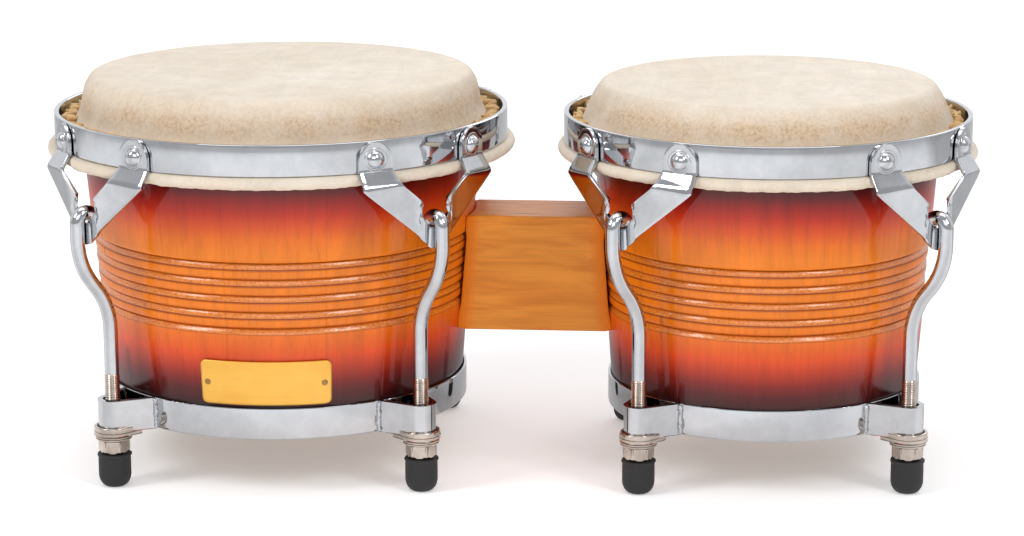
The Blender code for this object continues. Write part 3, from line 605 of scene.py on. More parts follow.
def revolved(name, profile, centre, material, columns, angle=32, marks=None, wobble=None):
    """A closed (radius, height) outline turned about a vertical axis."""
    angles = np.linspace(0, tau, columns, endpoint=False)
    radii = np.array([p[0] for p in profile])[:, None]
    heights = np.array([p[1] for p in profile])[:, None]
    if wobble is not None:
        radii = radii + wobble(angles[None, :], heights)
    x = centre[0] + radii * np.cos(angles)
    y = centre[1] + radii * np.sin(angles)
    z = np.broadcast_to(heights, x.shape)
    points = np.stack([x, y, z], axis=-1).reshape(-1, 3)
    faces = grid_faces(len(profile), columns, True)
    marks = {key: np.repeat(values, columns) for key, values in (marks or {}).items()}
    return mesh_piece(name, points, faces, material, angle, marks)


def prism(outline, low, high, ease):
    """An outline in plan raised between two heights, with its long edges eased."""
    count = len(outline)
    points = []
    for z, inset in ((low, ease), (low + ease, 0), (high - ease, 0), (high, ease)):
        for i, point in enumerate(outline):
            before, after = Vector(outline[i - 1]), Vector(outline[(i + 1) % count])
            along = (after - before).normalized()
            spot = Vector(point) - Vector((along.y, -along.x)) * inset
            points.append((spot.x, spot.y, z))
    return points, capped_faces(4, count)


def tube(path, radii, sides):
    """A round bar that follows points in space."""
    points = []
    count = len(path)
    side = None
    for i, spot in enumerate(path):
        ahead = (path[min(i + 1, count - 1)] - path[max(i - 1, 0)]).normalized()
        if side is None:
            side = ahead.orthogonal().normalized()
        side = (side - ahead * side.dot(ahead)).normalized()
        up = ahead.cross(side)
        for j in range(sides):
            turn = tau * j / sides
            points.append(spot + (side * cos(turn) + up * sin(turn)) * radii[i])
    return points, capped_faces(count, sides)


def button(name, base, turn, profile, root, sides, material):
    """A round head on a wall that faces a turn; (radius, height) from its tip's point outwards."""
    out, up = Vector((cos(turn), sin(turn), 0)), Vector((0, 0, 1))
    across = Vector((-out.y, out.x, 0))
    points = []
    for radius, rise in profile[1:]:
        for j in range(sides):
            a = tau * j / sides
            points.append(base + (across * cos(a) + up * sin(a)) * radius + out * rise)
    tip, last = len(points), len(points) - sides
    points += [base + out * profile[0][1], base - out * root]
    faces = grid_faces(len(profile) - 1, sides)
    faces += [(tip, j, (j + 1) % sides) for j in range(sides)]
    faces += [(tip + 1, last + (j + 1) % sides, last + j) for j in range(sides)]
    return mesh_piece(name, points, faces, material, 60)


def join(groups):
    """Several (points, faces) as one."""
    points, faces = [], []
    for some, around in groups:
        faces += [tuple(v + len(points) for v in face) for face in around]
        points += list(some)
    return points, faces


def thicken(piece, name, thickness, offset):
    solid = piece.modifiers.new(name, "SOLIDIFY")
    solid.thickness = thickness
    solid.offset = offset


def settle(piece, body, slot, *nodes):
    """Rides on a body and stands for CAD nodes; the slot is not used."""
    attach(piece, body)
    if nodes:
        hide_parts(*nodes)


# ---- shells ----

def bead_depth(t):
    """Depth below the main surface across one groove pitch, from a groove's bottom down."""
    ridge, barrel = 0.62 * MM, 0.16 * MM
    if t < 0.34:
        return GROOVE_DEPTH - (GROOVE_DEPTH - ridge) * sin(t / 0.34 * pi / 2)
    if t < 0.44:
        return ridge + 0.22 * MM * sin((t - 0.34) / 0.10 * pi)
    if t < 0.86:
        return ridge - barrel * sin((t - 0.44) / 0.42 * pi)
    return ridge + (GROOVE_DEPTH - ridge) * ((t - 0.86) / 0.14) ** 1.5


def groove_profile(drum):
    """The turned beads from top to bottom, as (radius, height, slope, line); slope marks the
    up-facing strips that are painted lighter, partly as painted light, and line marks dark lines
    that are painted shade in part.
    """
    first = drum.shell_top - GROOVES_BELOW_TOP
    rows = []
    # the first groove's top edge gets a dark line, painted shadow
    for t in (0.0, 0.3, 0.6, 0.85):
        z = first + 1.6 * MM * (1 - t)
        rows.append((drum.shell_radius(z) - GROOVE_DEPTH * t ** 1.8, z, 0.0, float(t > 0.7)))
    shares = (0, 0.03, 0.08, 0.14, 0.2, 0.26, 0.31, 0.34, 0.37, 0.39, 0.41, 0.44, 0.52, 0.6, 0.68,
              0.76, 0.83, 0.88, 0.92, 0.96)
    for groove in range(GROOVE_COUNT):
        last = groove == GROOVE_COUNT - 1
        for t in shares[:8] if last else shares:
            z = first - (groove + t) * GROOVE_PITCH
            depth = GROOVE_DEPTH * (1 - t / 0.34) ** 1.4 if last else bead_depth(t)
            # slope marks the up-facing strip that is painted lighter, partly as painted light
            slope = max(0.0, min(1.0, t / 0.07, (0.35 - t) / 0.05))
            under = max(0.0, 1 - abs(t - 0.385) / 0.085) * 0.95
            # line: painted shadow under each groove's top edge (0.62, 0.30); the line below each
            # slope is partly pooled lacquer and partly painted shade
            line = 0.62 if t < 0.02 or t > 0.93 else 0.30 if t > 0.87 else under
            rows.append((drum.shell_radius(z) - depth, z, slope, line))
    return rows


def add_shell(drum):
    """Staved wall with a round bearing edge, turned beads and raw wood inside."""
    edge, top = drum.edge_radius - 0.6 * MM, drum.shell_top
    rows = [(p.x, p.y, 0.0, 0.0) for p in arc((edge - 6 * MM, top - 6 * MM), 6 * MM, 100, 15, 8)]
    crown = top - 26 * MM
    shoulder = drum.cone_radius(drum.hoop_top) - 2 * SKIN
    rows.append((min(shoulder, drum.shell_radius(drum.hoop_top)), drum.hoop_top, 0.0, 0.0))
    for z in np.linspace(crown, top - GROOVES_BELOW_TOP + 3 * MM, 8):
        rows.append((drum.shell_radius(z), z, 0.0, 0.0))
    rows += groove_profile(drum)
    below = rows[-1][1] - 0.6 * MM
    for z in np.linspace(below, drum.shell_bottom + 0.6 * MM, 9):
        rows.append((drum.shell_radius(z), z, 0.0, 0.0))
    inner = len(rows)
    for z in np.linspace(drum.shell_bottom, crown, 5):
        rows.append((drum.shell_radius(z) - SHELL_WALL, z, 0.0, 0.0))
    rows.append((edge - 10 * MM, top - 2 * MM, 0.0, 0.0))
    inside = [0.0] * inner + [1.0] * (len(rows) - inner)

    def wobble(angles, heights):
        return 0.06 * MM * np.sin(STAVES * angles) * np.ones_like(heights)

    marks = {"slope": [r[2] for r in rows], "line": [r[3] for r in rows], "inside": inside}
    shell = revolved(f"{drum.name}_lacquered_shell", rows, (drum.x, 0), lacquered_shell(drum),
                     columns=SHELL_COLUMNS, marks=marks, wobble=wobble)
    settle(shell, "root", "sunburst_lacquer", f"{drum.name}_shell")


# ---- skins ----

def tab_pinch(drum, angles):
    """1 away from the bracket tabs and 0 under them, where the roll is pressed in."""
    width = TAB_HALF / drum.hoop_radius
    free = np.ones_like(angles)
    for turn in drum.turns:
        for side in (-1, 1):
            off = np.abs((angles - turn - side * drum.lean + pi) % tau - pi)
            free = np.minimum(free, np.clip((off - width * 0.95) / (width * 0.9), 0, 1))
    return free * free * (3 - 2 * free)


def add_skin(drum, material):
    """One hide: playing surface, collar, the roll round the flesh hoop, and its pleated trim."""
    angles = np.linspace(0, tau, SKIN_COLUMNS, endpoint=False)
    top, edge = drum.head_top - SKIN / 2, drum.edge_radius
    rows, shoulder, pleat, crease_shade = [], [], [], []

    def row(radii, heights, shade=0.0, fold=0.0, dark=0.0, turn=0.0):
        a = angles + turn
        x = drum.x + radii * np.cos(a)
        y = radii * np.sin(a)
        rows.append(np.stack([x, y, np.broadcast_to(heights, x.shape)], axis=-1))
        for store, value in ((shoulder, shade), (pleat, fold), (crease_shade, dark)):
            store.append(np.broadcast_to(value, x.shape))

    phase = SKIN_SEED[drum.name]
    slow = 0.5 * np.sin(3 * angles + phase) + 0.5 * np.sin(7 * angles + 2 * phase)
    for share in (0.02, 0.1, 0.25, 0.4, 0.55, 0.7, 0.8, 0.88):
        ripple = 0.12 * MM * np.sin(5 * angles + 9 * share + phase) * share
        row((edge - SHOULDER) * share * np.ones_like(angles), top + ripple, 0.25 * share ** 6)
    swell = SWELL[drum.name]
    bend_line = arc((edge - SHOULDER + swell, top - SHOULDER), SHOULDER, 90, 26, 7)
    for i, point in enumerate(bend_line):
        row(point.x + 0.15 * MM * slow, point.y * np.ones_like(angles), 0.15 + 0.25 * i / 7)
    for z in np.linspace(drum.head_top - 6.5 * MM, drum.roll_z + 3.2 * MM, 9):
        drop = (drum.head_top - z) / (drum.head_top - drum.hoop_top)
        left = max(0.0, 1 - drop)
        out = swell * left * (2.4 - 1.4 * left)
        # browning down the collar: partly the hide's own tone, partly painted shade
        shade = float(np.interp(drop, (0.3, 0.6, 0.9, 1.3), (0.45, 1.0, 0.8, 0.3)))
        row(drum.cone_radius(z) - SKIN / 2 + out + 0.2 * MM * slow, z * np.ones_like(angles), shade)
    free = tab_pinch(drum, angles)
    bulge = ROLL_BULGE[drum.name] * free * (0.93 + 0.07 * slow)
    centre = drum.roll_radius - ROLL_RADIUS + bulge / 2
    wide = ROLL_RADIUS - SKIN / 2 + bulge / 2
    tall = ROLL_RADIUS - SKIN / 2 + 0.10 * MM * free
    frayed = 0.14 * MM * np.sin(61 * angles + phase) + 0.1 * MM * np.sin(137 * angles)
    for step in range(19):
        turn = radians(180 + 15.5 * step)
        under = max(0.0, -sin(turn))
        radii = centre + wide * cos(turn) + frayed * 0.4
        heights = drum.roll_z + tall * sin(turn) - 0.15 * MM * free + frayed * under
        # painted shade: the roll browns more on its underside
        row(radii, heights, 0.20 + 0.30 * under)
    count = round(tau * drum.hoop_radius / PLEAT_LENGTH)
    drift = 0.9 * np.sin(4 * angles + phase) + 0.7 * np.sin(9 * angles - phase)
    drift = drift + 0.5 * np.sin(17 * angles + 2 * phase)
    wave = count * angles + drift
    size = 0.80 + 0.20 * np.sin(2.3 * np.sin(5 * angles + phase) + 13 * angles)
    start_z = drum.hoop_bottom + 0.2 * MM
    trim = drum.hoop_top - 2.4 * MM + 1.2 * MM * np.sin(0.5 * wave + phase) * np.sin(6 * angles)
    trim = trim + 0.5 * MM * np.sin(wave * 2 + 1.0)
    for i in range(11):
        t = i / 10
        z = start_z + (trim - start_z) * t
        inner = drum.cone_radius(start_z + (drum.hoop_top - start_z) * t) + 1.1 * MM
        outer = drum.hoop_radius - 3.9 * MM
        middle = (inner + outer) / 2 - 0.5 * MM
        swing = (outer - inner) / 2 * (0.35 + 0.65 * t) * size
        fold = np.tanh(2.2 * np.sin(wave)) / np.tanh(2.2)
        radii = middle + swing * fold - 0.7 * MM * t ** 3 * np.cos(wave * 0.5)
        slide = 1.9 * MM * t ** 1.3 * np.sin(2 * wave) / drum.hoop_radius
        z = z - 1.4 * MM * t ** 2 * (0.5 - 0.5 * fold)
        # painted shade in the pleats: darkest low down, near the hoop's bottom, and in the inward
        # folds
        row(radii, z, 0.0, min(1.0, 0.5 + t), np.clip(0.75 - 0.9 * t - 0.3 * fold, 0, 1), slide)
    points = np.concatenate([np.array([(drum.x, 0, top)]),
                             np.stack(rows).reshape(-1, 3)])
    faces = grid_faces(len(rows), SKIN_COLUMNS, offset=1)
    faces += [(0, 1 + (j + 1) % SKIN_COLUMNS, 1 + j) for j in range(SKIN_COLUMNS)]
    marks = {}
    for name, values in (("shoulder", shoulder), ("pleat", pleat), ("crease_shade", crease_shade)):
        marks[name] = np.concatenate([[0.0], np.stack(values).ravel()])
    skin = mesh_piece(f"{drum.name}_skin", points, faces, material, angle=None, marks=marks)
    thicken(skin, "hide_thickness", SKIN, 0.0)
    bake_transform(skin)
    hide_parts(f"{drum.name}_drumhead", f"{drum.name}_skin_roll")


# ---- tension hoops ----

def add_hoop(drum, material):
    """Flat band with eased corners."""
    outer, inner = drum.hoop_radius, drum.hoop_radius - HOOP_WALL
    corners = [(outer, drum.hoop_top), (outer, drum.hoop_bottom),
               (inner, drum.hoop_bottom), (inner, drum.hoop_top)]
    profile = rounded(corners, 0.8 * MM, 3)
    hoop = revolved(f"{drum.name}_chrome_hoop", profile, (drum.x, 0), material, columns=256)
    settle(hoop, drum.tuning, "chrome", f"{drum.name}_tension_hoop")


# ---- lug brackets ----

def tab_point(drum, side, z, out):
    """Middle of the strip at a distance from the rivet's line, in the lug's own directions."""
    radius = drum.hoop_radius + GAP + STRIP / 2 + out
    return Vector((radius * cos(drum.lean) - side * sin(drum.lean),
                   radius * sin(drum.lean) + side * cos(drum.lean), z))


def bracket_sections(drum):
    """Upper and lower edges of half a bracket, from the tab's round top to the middle fold."""
    rows = []
    for angle in (84, 72, 60, 46, 32, 16, 0):
        half = TAB_HALF * cos(radians(angle))
        z = drum.rivet_z + TAB_HALF * sin(radians(angle))
        rows.append((tab_point(drum, -half, z, 0), tab_point(drum, half, z, 0)))
    bends = [(JOGGLE_TOP + 1.4 * MM, 0.0), (JOGGLE_TOP + 0.2 * MM, 0.1),
             (JOGGLE_TOP - 1.0 * MM, 0.6),
             (JOGGLE_BOTTOM + 2.2 * MM, 4.4), (JOGGLE_BOTTOM + 0.9 * MM, 5.2),
             (JOGGLE_BOTTOM - 0.6 * MM, 5.6)]
    for (z, out), flare in zip(bends, (0.0, 0.1, 0.4, 2.2, 3.0, 4.0)):
        rows.append((tab_point(drum, -TAB_HALF - flare * MM, z + 0.35 * flare * MM, out * MM),
                     tab_point(drum, TAB_HALF, z, out * MM)))
    fold = drum.fold
    knee = rows[-1]
    corner = Vector((fold - 0.7 * MM, 8.0 * MM, 156.4 * MM))
    heel = Vector((fold - 1.3 * MM, 11.0 * MM, 139.6 * MM))
    for t in (0.08, 0.3, 0.55, 0.8, 0.95, 1.0):
        rows.append((knee[0].lerp(corner, t), knee[1].lerp(heel, t)))
    for across, high, low, heel_across, back in NOTCH:
        rows.append((Vector((fold - back * MM, across * MM, high * MM)),
                     Vector((fold - back * MM - 0.3 * MM, heel_across * MM, low * MM))))
    for turn in (75, 60, 45, 30, 15, 0):
        across = 4.3 * MM * sin(radians(turn))
        back = 1.5 * MM * (1 - cos(radians(turn)))
        drop = 2.6 * MM * cos(radians(turn)) ** 0.8
        rows.append((Vector((fold - back, across, FOLD_TOP + 0.8 * MM * (turn / 75) ** 2)),
                     Vector((fold - back, across * 1.12, FOLD_BOTTOM + 2.4 * MM - drop))))
    return rows


def add_bracket(drum, lug, material):
    """One pressed strip, mirrored about the lug's middle, and its two rivets."""
    half = bracket_sections(drum)
    flip = Vector((1, -1, 1))
    full = half + [(a * flip, b * flip) for a, b in reversed(half[:-1])]
    turn = drum.turns[lug - 1]
    columns = 9
    points = []
    for upper, lower in full:
        for j in range(columns):
            spot = upper.lerp(lower, j / (columns - 1))
            points.append(drum.place(turn, spot.x, spot.y, spot.z))
    faces = grid_faces(len(full), columns, wrap_columns=False)
    strip = mesh_piece(f"{drum.name}_bracket_strip_{lug}", points, faces, material, angle=40)
    thicken(strip, "plate", STRIP, 0.0)
    edge = strip.modifiers.new("eased_edge", "BEVEL")
    edge.width = 0.35 * MM
    edge.segments = 2
    edge.limit_method = "ANGLE"
    edge.angle_limit = radians(50)
    settle(strip, drum.tuning, "chrome", f"{drum.name}_bracket_{lug}")
    profile = [(radius * MM, rise * MM) for radius, rise in RIVET_PROFILE]
    for side in (-1, 1):
        angle = turn + side * drum.lean
        base = drum.place(angle, drum.hoop_radius + GAP + STRIP, 0, drum.rivet_z)
        name = f"{drum.name}_rivet_{lug}_{'ab'[side > 0]}"
        rivet = button(name, base, angle, profile, 0.4 * MM, 40, material)
        settle(rivet, drum.tuning, "chrome")


# ---- tension rods ----

def bend(before, corner, after, radius, steps):
    """Arc that rounds the corner of a line."""
    into = (corner - before).normalized()
    away = (after - corner).normalized()
    turn = into.angle(away)
    cut = radius * tan(turn / 2)
    start = corner - into * cut
    side = (away - into * into.dot(away)).normalized()
    centre = start + side * radius
    angles = [turn * i / steps for i in range(steps + 1)]
    return [centre - side * radius * cos(a) + into * radius * sin(a) for a in angles]


def rod_line(drum):
    """Centre line from the hook's tip to the thread's end, as (radial, height)."""
    centre = Vector((drum.rod_top - HOOK, FOLD_TOP - 0.2 * MM))
    line = [Vector((centre.x - HOOK, HOOK_TIP)), Vector((centre.x - HOOK, HOOK_TIP + 2 * MM))]
    line += arc(centre, HOOK, 180, 0, 20)
    upper, lower = Vector((drum.rod_top, BEND_TOP)), Vector((drum.rod_foot, BEND_BOTTOM))
    line.append(Vector((drum.rod_top, HOOK_TIP - 1 * MM)))
    line += bend(line[-1], upper, lower, BEND_RADIUS, 14)
    line += bend(upper, lower, Vector((drum.rod_foot, 0)), BEND_RADIUS, 14)
    line.append(Vector((drum.rod_foot, THREAD_TOP + 1.0 * MM)))
    return line


def add_rod(drum, lug, shank_material, thread_material):
    """Hooked shank, and under it a thread whose crest climbs one pitch a turn."""
    turn = drum.turns[lug - 1]
    line = rod_line(drum)
    path = [drum.place(turn, p.x, 0, p.y) for p in line]
    radii = [SHANK] * len(path)
    radii[0] = SHANK * 0.8
    path.append(drum.place(turn, drum.rod_foot, 0, THREAD_TOP - 1 * MM))
    radii.append(SHANK)
    points, faces = tube(path, radii, 28)
    rod = mesh_piece(f"{drum.name}_hooked_rod_{lug}", points, faces, shank_material, 50)
    settle(rod, drum.tuning, "chrome", f"{drum.name}_rod_{lug}")
    sides, per_turn = 24, 8
    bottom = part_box(f"{drum.name}_rod_{lug}")[0].z
    rows = int((THREAD_TOP - bottom) / THREAD_PITCH * per_turn)
    core = drum.place(turn, drum.rod_foot, 0, 0)
    points = []
    for i in range(rows + 1):
        z = bottom + (THREAD_TOP - bottom) * i / rows
        fade = min(1.0, (rows - i) / (2.0 * per_turn), (i + 1) / per_turn)
        for j in range(sides):
            wave = (i / per_turn - j / sides) % 1.0
            crest = abs(wave - 0.5) * 2
            radius = THREAD - THREAD_DEPTH * (1 - fade) - THREAD_DEPTH * fade * crest
            a = tau * j / sides
            points.append((core.x + radius * cos(a), core.y + radius * sin(a), z))
    thread = mesh_piece(f"{drum.name}_rod_thread_{lug}", points, capped_faces(rows + 1, sides),
                        thread_material, 60)
    settle(thread, drum.tuning, "nickel")


# ---- bottom rings, loops and welds ----

def add_ring(drum, material):
    """Angle ring under the shell, with a loop welded on for each rod."""
    outer, inner = drum.ring_radius, drum.ring_radius - RING_WALL
    floor = drum.ring_bottom + 1.8 * MM
    corners = [(outer, drum.ring_top), (outer, drum.ring_bottom),
               (inner - RING_LIP, drum.ring_bottom), (inner - RING_LIP, floor), (inner, floor),
               (inner, drum.ring_top)]
    profile = rounded(corners, [0.5 * MM, 1.6 * MM, 0.5 * MM, 0.5 * MM, 0.4 * MM, 0.4 * MM], 3)
    ring = revolved(f"{drum.name}_foot_ring", profile, (drum.x, 0), material, columns=224)
    settle(ring, "root", "chrome", f"{drum.name}_bottom_ring")
    for lug in LUGS:
        add_loop(drum, lug, material)


def loop_half(drum, inset):
    """Half of a loop's line, from the ring to the nose round the rod."""
    across = LOOP_BASE + inset
    root = sqrt(drum.ring_radius ** 2 - across ** 2) - GAP
    half = [Vector((root, across))]
    half += [Vector((drum.rod_foot + p.x, p.y)) for p in arc((0, 0), LOOP_NOSE + inset, 78, 6, 9)]
    return half


def add_loop(drum, lug, material):
    """Bent strip round the rod, with a lumpy weld at each end."""
    turn = drum.turns[lug - 1]
    inner, outer = loop_half(drum, 0), loop_half(drum, LOOP_STRIP)
    both = mirrored(outer) + mirrored(inner)[::-1]
    outline = [drum.place(turn, p.x, p.y, 0).to_2d() for p in both]
    points, faces = prism(outline, drum.ring_bottom, drum.ring_top, 0.3 * MM)
    loop = mesh_piece(f"{drum.name}_loop_{lug}", points, faces, material, 35)
    settle(loop, "root", "chrome")
    for side in (-1, 1):
        beads = []
        base = loop_half(drum, LOOP_STRIP)[0]
        low, rise = drum.ring_bottom + 1.4 * MM, drum.ring_top - drum.ring_bottom - 2.6 * MM
        for i in range(WELD_BEADS):
            t = i / (WELD_BEADS - 1)
            jitter = noise.noise_vector(Vector((lug * 3.1 + side, t * 7.0, drum.x * 40)))
            spot = drum.place(turn, base.x + 0.5 * MM + 0.5 * MM * jitter.x,
                              side * (base.y + 0.4 * MM + 0.5 * MM * jitter.y), low + rise * t)
            beads.append(blob(spot, (1.25 + 0.4 * jitter.z) * MM, jitter))
        points, faces = join(beads)
        name = f"{drum.name}_weld_{lug}_{'ab'[side > 0]}"
        weld = mesh_piece(name, points, faces, material, 70)
        fuse = weld.modifiers.new("fused", "REMESH")
        fuse.mode = "VOXEL"
        fuse.voxel_size = 0.28 * MM
        fuse.use_smooth_shade = True
        soften = weld.modifiers.new("softened", "SMOOTH")
        soften.factor = 0.6
        soften.iterations = 5
        settle(weld, "root", "chrome")


def blob(centre, radius, jitter):
    """A lumpy drop of weld metal."""
    shape = bmesh.new()
    bmesh.ops.create_icosphere(shape, subdivisions=2, radius=radius)
    points = []
    for vert in shape.verts:
        swell = 1 + 0.22 * noise.noise(vert.co / radius * 1.7 + jitter * 5)
        points.append(centre + Vector((vert.co.x, vert.co.y, vert.co.z * 0.72)) * swell)
    faces = [tuple(v.index for v in face.verts) for face in shape.faces]
    shape.free()
    return points, faces


# ---- saddles, nuts and feet ----

def add_saddle(drum, lug, material):
    """Plate whose outer end is pressed up into a rim round the loop's nose."""
    turn = drum.turns[lug - 1]
    lip_inner = LOOP_NOSE + LOOP_STRIP + 0.5 * MM
    lip_outer = lip_inner + SADDLE_LIP
    root = drum.ring_radius + 4.2 * MM
    half = [Vector((root, lip_outer - 1.2 * MM)), Vector((root + 1.2 * MM, lip_outer))]
    half += [Vector((drum.rod_foot + p.x, p.y)) for p in arc((0, 0), lip_outer, 88, 4, 12)]
    outline = [drum.place(turn, p.x, p.y, 0).to_2d() for p in mirrored(half)]
    base = drum.saddle_bottom
    plate = prism(outline, base, base + SADDLE_PLATE, 0.4 * MM)
    lip = []
    rise = drum.saddle_top - base
    profile = rounded([(lip_outer + 0.2 * MM, rise), (lip_outer, 0.5 * MM), (lip_inner, 0.5 * MM),
                       (lip_inner, rise)], [0.6 * MM, 0.4 * MM, 0.3 * MM, 0.6 * MM], 3)
    straight = drum.rod_foot - root
    walk = [(t * straight - straight, -90) for t in (0.06, 0.12, 0.2, 0.4, 0.7)]
    walk += [(0.0, -90 + 180 * i / 24) for i in range(25)]
    walk += [(along, 90) for along, _ in reversed(walk[:5])]
    steps = len(walk) - 1
    for i, (along, a) in enumerate(walk):
        a = radians(a)
        height = 0.72 + 0.28 * min(1.0, min(i, steps - i) / 3)
        for point in profile:
            lip.append(drum.place(turn, drum.rod_foot + along + point.x * cos(a),
                                  point.x * sin(a), base + point.y * height))
    points, faces = join([plate, (lip, capped_faces(steps + 1, len(profile)))])
    saddle = mesh_piece(f"{drum.name}_saddle_plate_{lug}", points, faces, material, 38)
    settle(saddle, "root", "nickel", f"{drum.name}_saddle_{lug}")


def add_nut(drum, lug, material):
    """Hexagonal nut with chamfered corners under a double round flange."""
    turn = drum.turns[lug - 1]
    centre = drum.place(turn, drum.rod_foot, 0, 0)
    columns = 96
    low, high, bore = drum.nut_bottom, drum.nut_top, THREAD + GAP
    phase = tau * round(columns * NUT_PHASES[lug - 1] / 360) / columns
    levels = [(low, bore, 0)]
    levels += [(low + rise * MM, radius * MM, flat) for rise, radius, flat in NUT_LOWER]
    levels += [(high - drop * MM, radius * MM, flat) for drop, radius, flat in NUT_UPPER]
    levels.append((high, bore, 0))
    points = []
    for z, radius, flat in levels:
        for j in range(columns):
            a = tau * j / columns
            side = (a - phase) % (pi / 3) - pi / 6
            limit = NUT_CORNER * cos(pi / 6) / cos(side)
            r = min(radius, limit) if flat else radius
            points.append((centre.x + r * cos(a + turn), centre.y + r * sin(a + turn), z))
    faces = grid_faces(len(levels), columns, True)
    nut = mesh_piece(f"{drum.name}_hex_nut_{lug}", points, faces, material, 28)
    settle(nut, f"{drum.name}_nut_{lug}", "nickel", f"{drum.name}_nut_{lug}")


def add_foot(drum, lug, material):
    """Rubber cap with a beaded rim, a crinkled mouth and a rounded end."""
    centre = drum.place(drum.turns[lug - 1], drum.rod_foot, 0, 0)
    top = drum.foot_top
    bore = THREAD + 0.4 * MM
    profile = [Vector((bore, top - 0.6 * MM)), Vector((bore + 0.8 * MM, top - 0.1 * MM))]
    profile += [Vector((FOOT_RADIUS + out * MM, top - down * MM)) for out, down in FOOT_RIM]
    profile.append(Vector((FOOT_RADIUS, FOOT_CURVE + 1.5 * MM)))
    profile += arc((FOOT_FLAT, FOOT_CURVE), FOOT_CURVE, 0, -90, 10,
                   squash=(FOOT_RADIUS - FOOT_FLAT) / FOOT_CURVE)
    profile += [Vector((0.4 * MM, 0.0)), Vector((0.4 * MM, 3.9 * MM)), Vector((bore, 3.9 * MM))]

    def wobble(angles, heights):
        near = np.clip((heights - top + 2.2 * MM) / (1.8 * MM), 0, 1)
        return near * 0.16 * MM * np.sin(5 * angles + lug) * (1 + 0.5 * np.sin(11 * angles))

    foot = revolved(f"{drum.name}_rubber_foot_{lug}", profile, (centre.x, centre.y), material,
                    columns=64, angle=40, wobble=wobble)
    settle(foot, drum.tuning, "black_rubber", f"{drum.name}_foot_{lug}")


# ---- block, badge and the fastenings inside ----

def block_face(drum, side, y, z):
    """Where the block's end meets a shell; it stands a little clear of the beads."""
    first = drum.shell_top - GROOVES_BELOW_TOP
    past = max(first - GROOVE_COUNT * GROOVE_PITCH + 4 * MM - z, z - first, 0.0)
    radius = drum.shell_radius(z) + GAP + 0.8 * MM * max(0.0, 1 - past / (3 * MM))
    return drum.x + side * sqrt(radius * radius - y * y)


def add_block(material):
    """Block with hollowed ends that follow both shells, and eased outer corners."""
    low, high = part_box("centre_block")
    corners = [(low.y, low.z), (high.y, low.z), (high.y, high.z), (low.y, high.z)]
    section = rounded(corners, 1.2 * MM, 4)
    dense = []
    for i, point in enumerate(section):
        after = section[(i + 1) % len(section)]
        steps = max(1, int((after - point).length / (3.5 * MM)))
        dense += [point.lerp(after, k / steps) for k in range(steps)]
    middle = Vector(((low.y + high.y) / 2, (low.z + high.z) / 2))
    rows, marks = [], []
    shares = [0.0, 0.004, 0.012, 0.024, 0.04]
    shares += [0.04 + 0.92 * i / BLOCK_LEVELS for i in range(1, BLOCK_LEVELS + 1)]
    shares += [0.976, 0.988, 0.996, 1.0]
    for share in shares:
        near = min(share, 1 - share)
        for point in dense:
            left = block_face(DRUMS[0], 1, point.x, point.y)
            right = block_face(DRUMS[1], -1, point.x, point.y)
            x = left + (right - left) * share
            inset = BLOCK_EASE * max(0.0, 1 - sqrt(min(1.0, near / 0.04)))
            shrink = 1 - 0.45 * inset / (high.y - low.y)
            spot = middle + (point - middle) * shrink
            rows.append((x, spot.x, spot.y))
            marks.append(1.0 if near < 0.045 else 0.0)
    count = len(dense)
    faces = grid_faces(len(shares), count)
    for start in (0, (len(shares) - 1) * count):
        centre = len(rows)
        drum, side = (DRUMS[0], 1) if start == 0 else (DRUMS[1], -1)
        rows.append((block_face(drum, side, middle.x, middle.y), middle.x, middle.y))
        marks.append(1.0)
        faces += [(centre, start + j, start + (j + 1) % count) for j in range(count)]
    block = mesh_piece("joining_block", rows, faces, material, 35, {"ease": marks})
    settle(block, "root", "honey_wood", "centre_block")


def add_badge(plate_material, pin_material):
    """Blank plate with round corners, bent round the shell, and its two pins."""
    drum = DRUMS[0]
    points = node_points("badge")
    turns = np.arctan2(points[:, 1], points[:, 0] - drum.x)
    left, right = turns.min(), turns.max()
    low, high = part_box("badge")
    height, mid_z = high.z - low.z, (low.z + high.z) / 2
    mid_turn = (left + right) / 2
    radius = drum.shell_radius(mid_z)
    width = (right - left) * radius
    columns, rows = BADGE_GRID
    corner = BADGE_CORNER
    half_w, half_h = width / 2, height / 2
    grid = []
    for i in range(rows + 1):
        for j in range(columns + 1):
            u, v = 2 * j / columns - 1, 2 * i / rows - 1
            x, y = u * half_w, v * half_h
            over_x, over_y = abs(x) - (half_w - corner), abs(y) - (half_h - corner)
            if over_x > 0 and over_y > 0:
                pull = max(over_x, over_y) / hypot(over_x, over_y)
                x = copysign(half_w - corner + over_x * pull, x)
                y = copysign(half_h - corner + over_y * pull, y)
            inside = min(half_w - abs(x), half_h - abs(y))
            edge = 0.25 * MM if inside < 0.3 * MM else 0.0
            out = drum.shell_radius(mid_z + y) + 1.6 * MM - edge
            a = mid_turn + x / radius
            grid.append((drum.x + out * cos(a), out * sin(a), mid_z + y))
    faces = grid_faces(rows + 1, columns + 1, wrap_columns=False)
    badge = mesh_piece("blank_badge", grid, faces, plate_material, 40)
    thicken(badge, "plate", 0.8 * MM, -1.0)
    settle(badge, "root", "brass", "badge")
    profile = [(0.0, 0.8 * MM)]
    profile += [(1.7 * MM * sin(t), 0.75 * MM * cos(t)) for t in (0.35, 0.8, 1.2, 1.57)]
    for side in (-1, 1):
        a = mid_turn + side * (right - left) * PIN_ALONG
        base = drum.place(a, drum.shell_radius(mid_z) + 1.5 * MM, 0, mid_z)
        name = f"badge_pin_{'ab'[side > 0]}"
        settle(button(name, base, a, profile, 0.3 * MM, 20, pin_material), "root", "brass")


# ---- stage ----

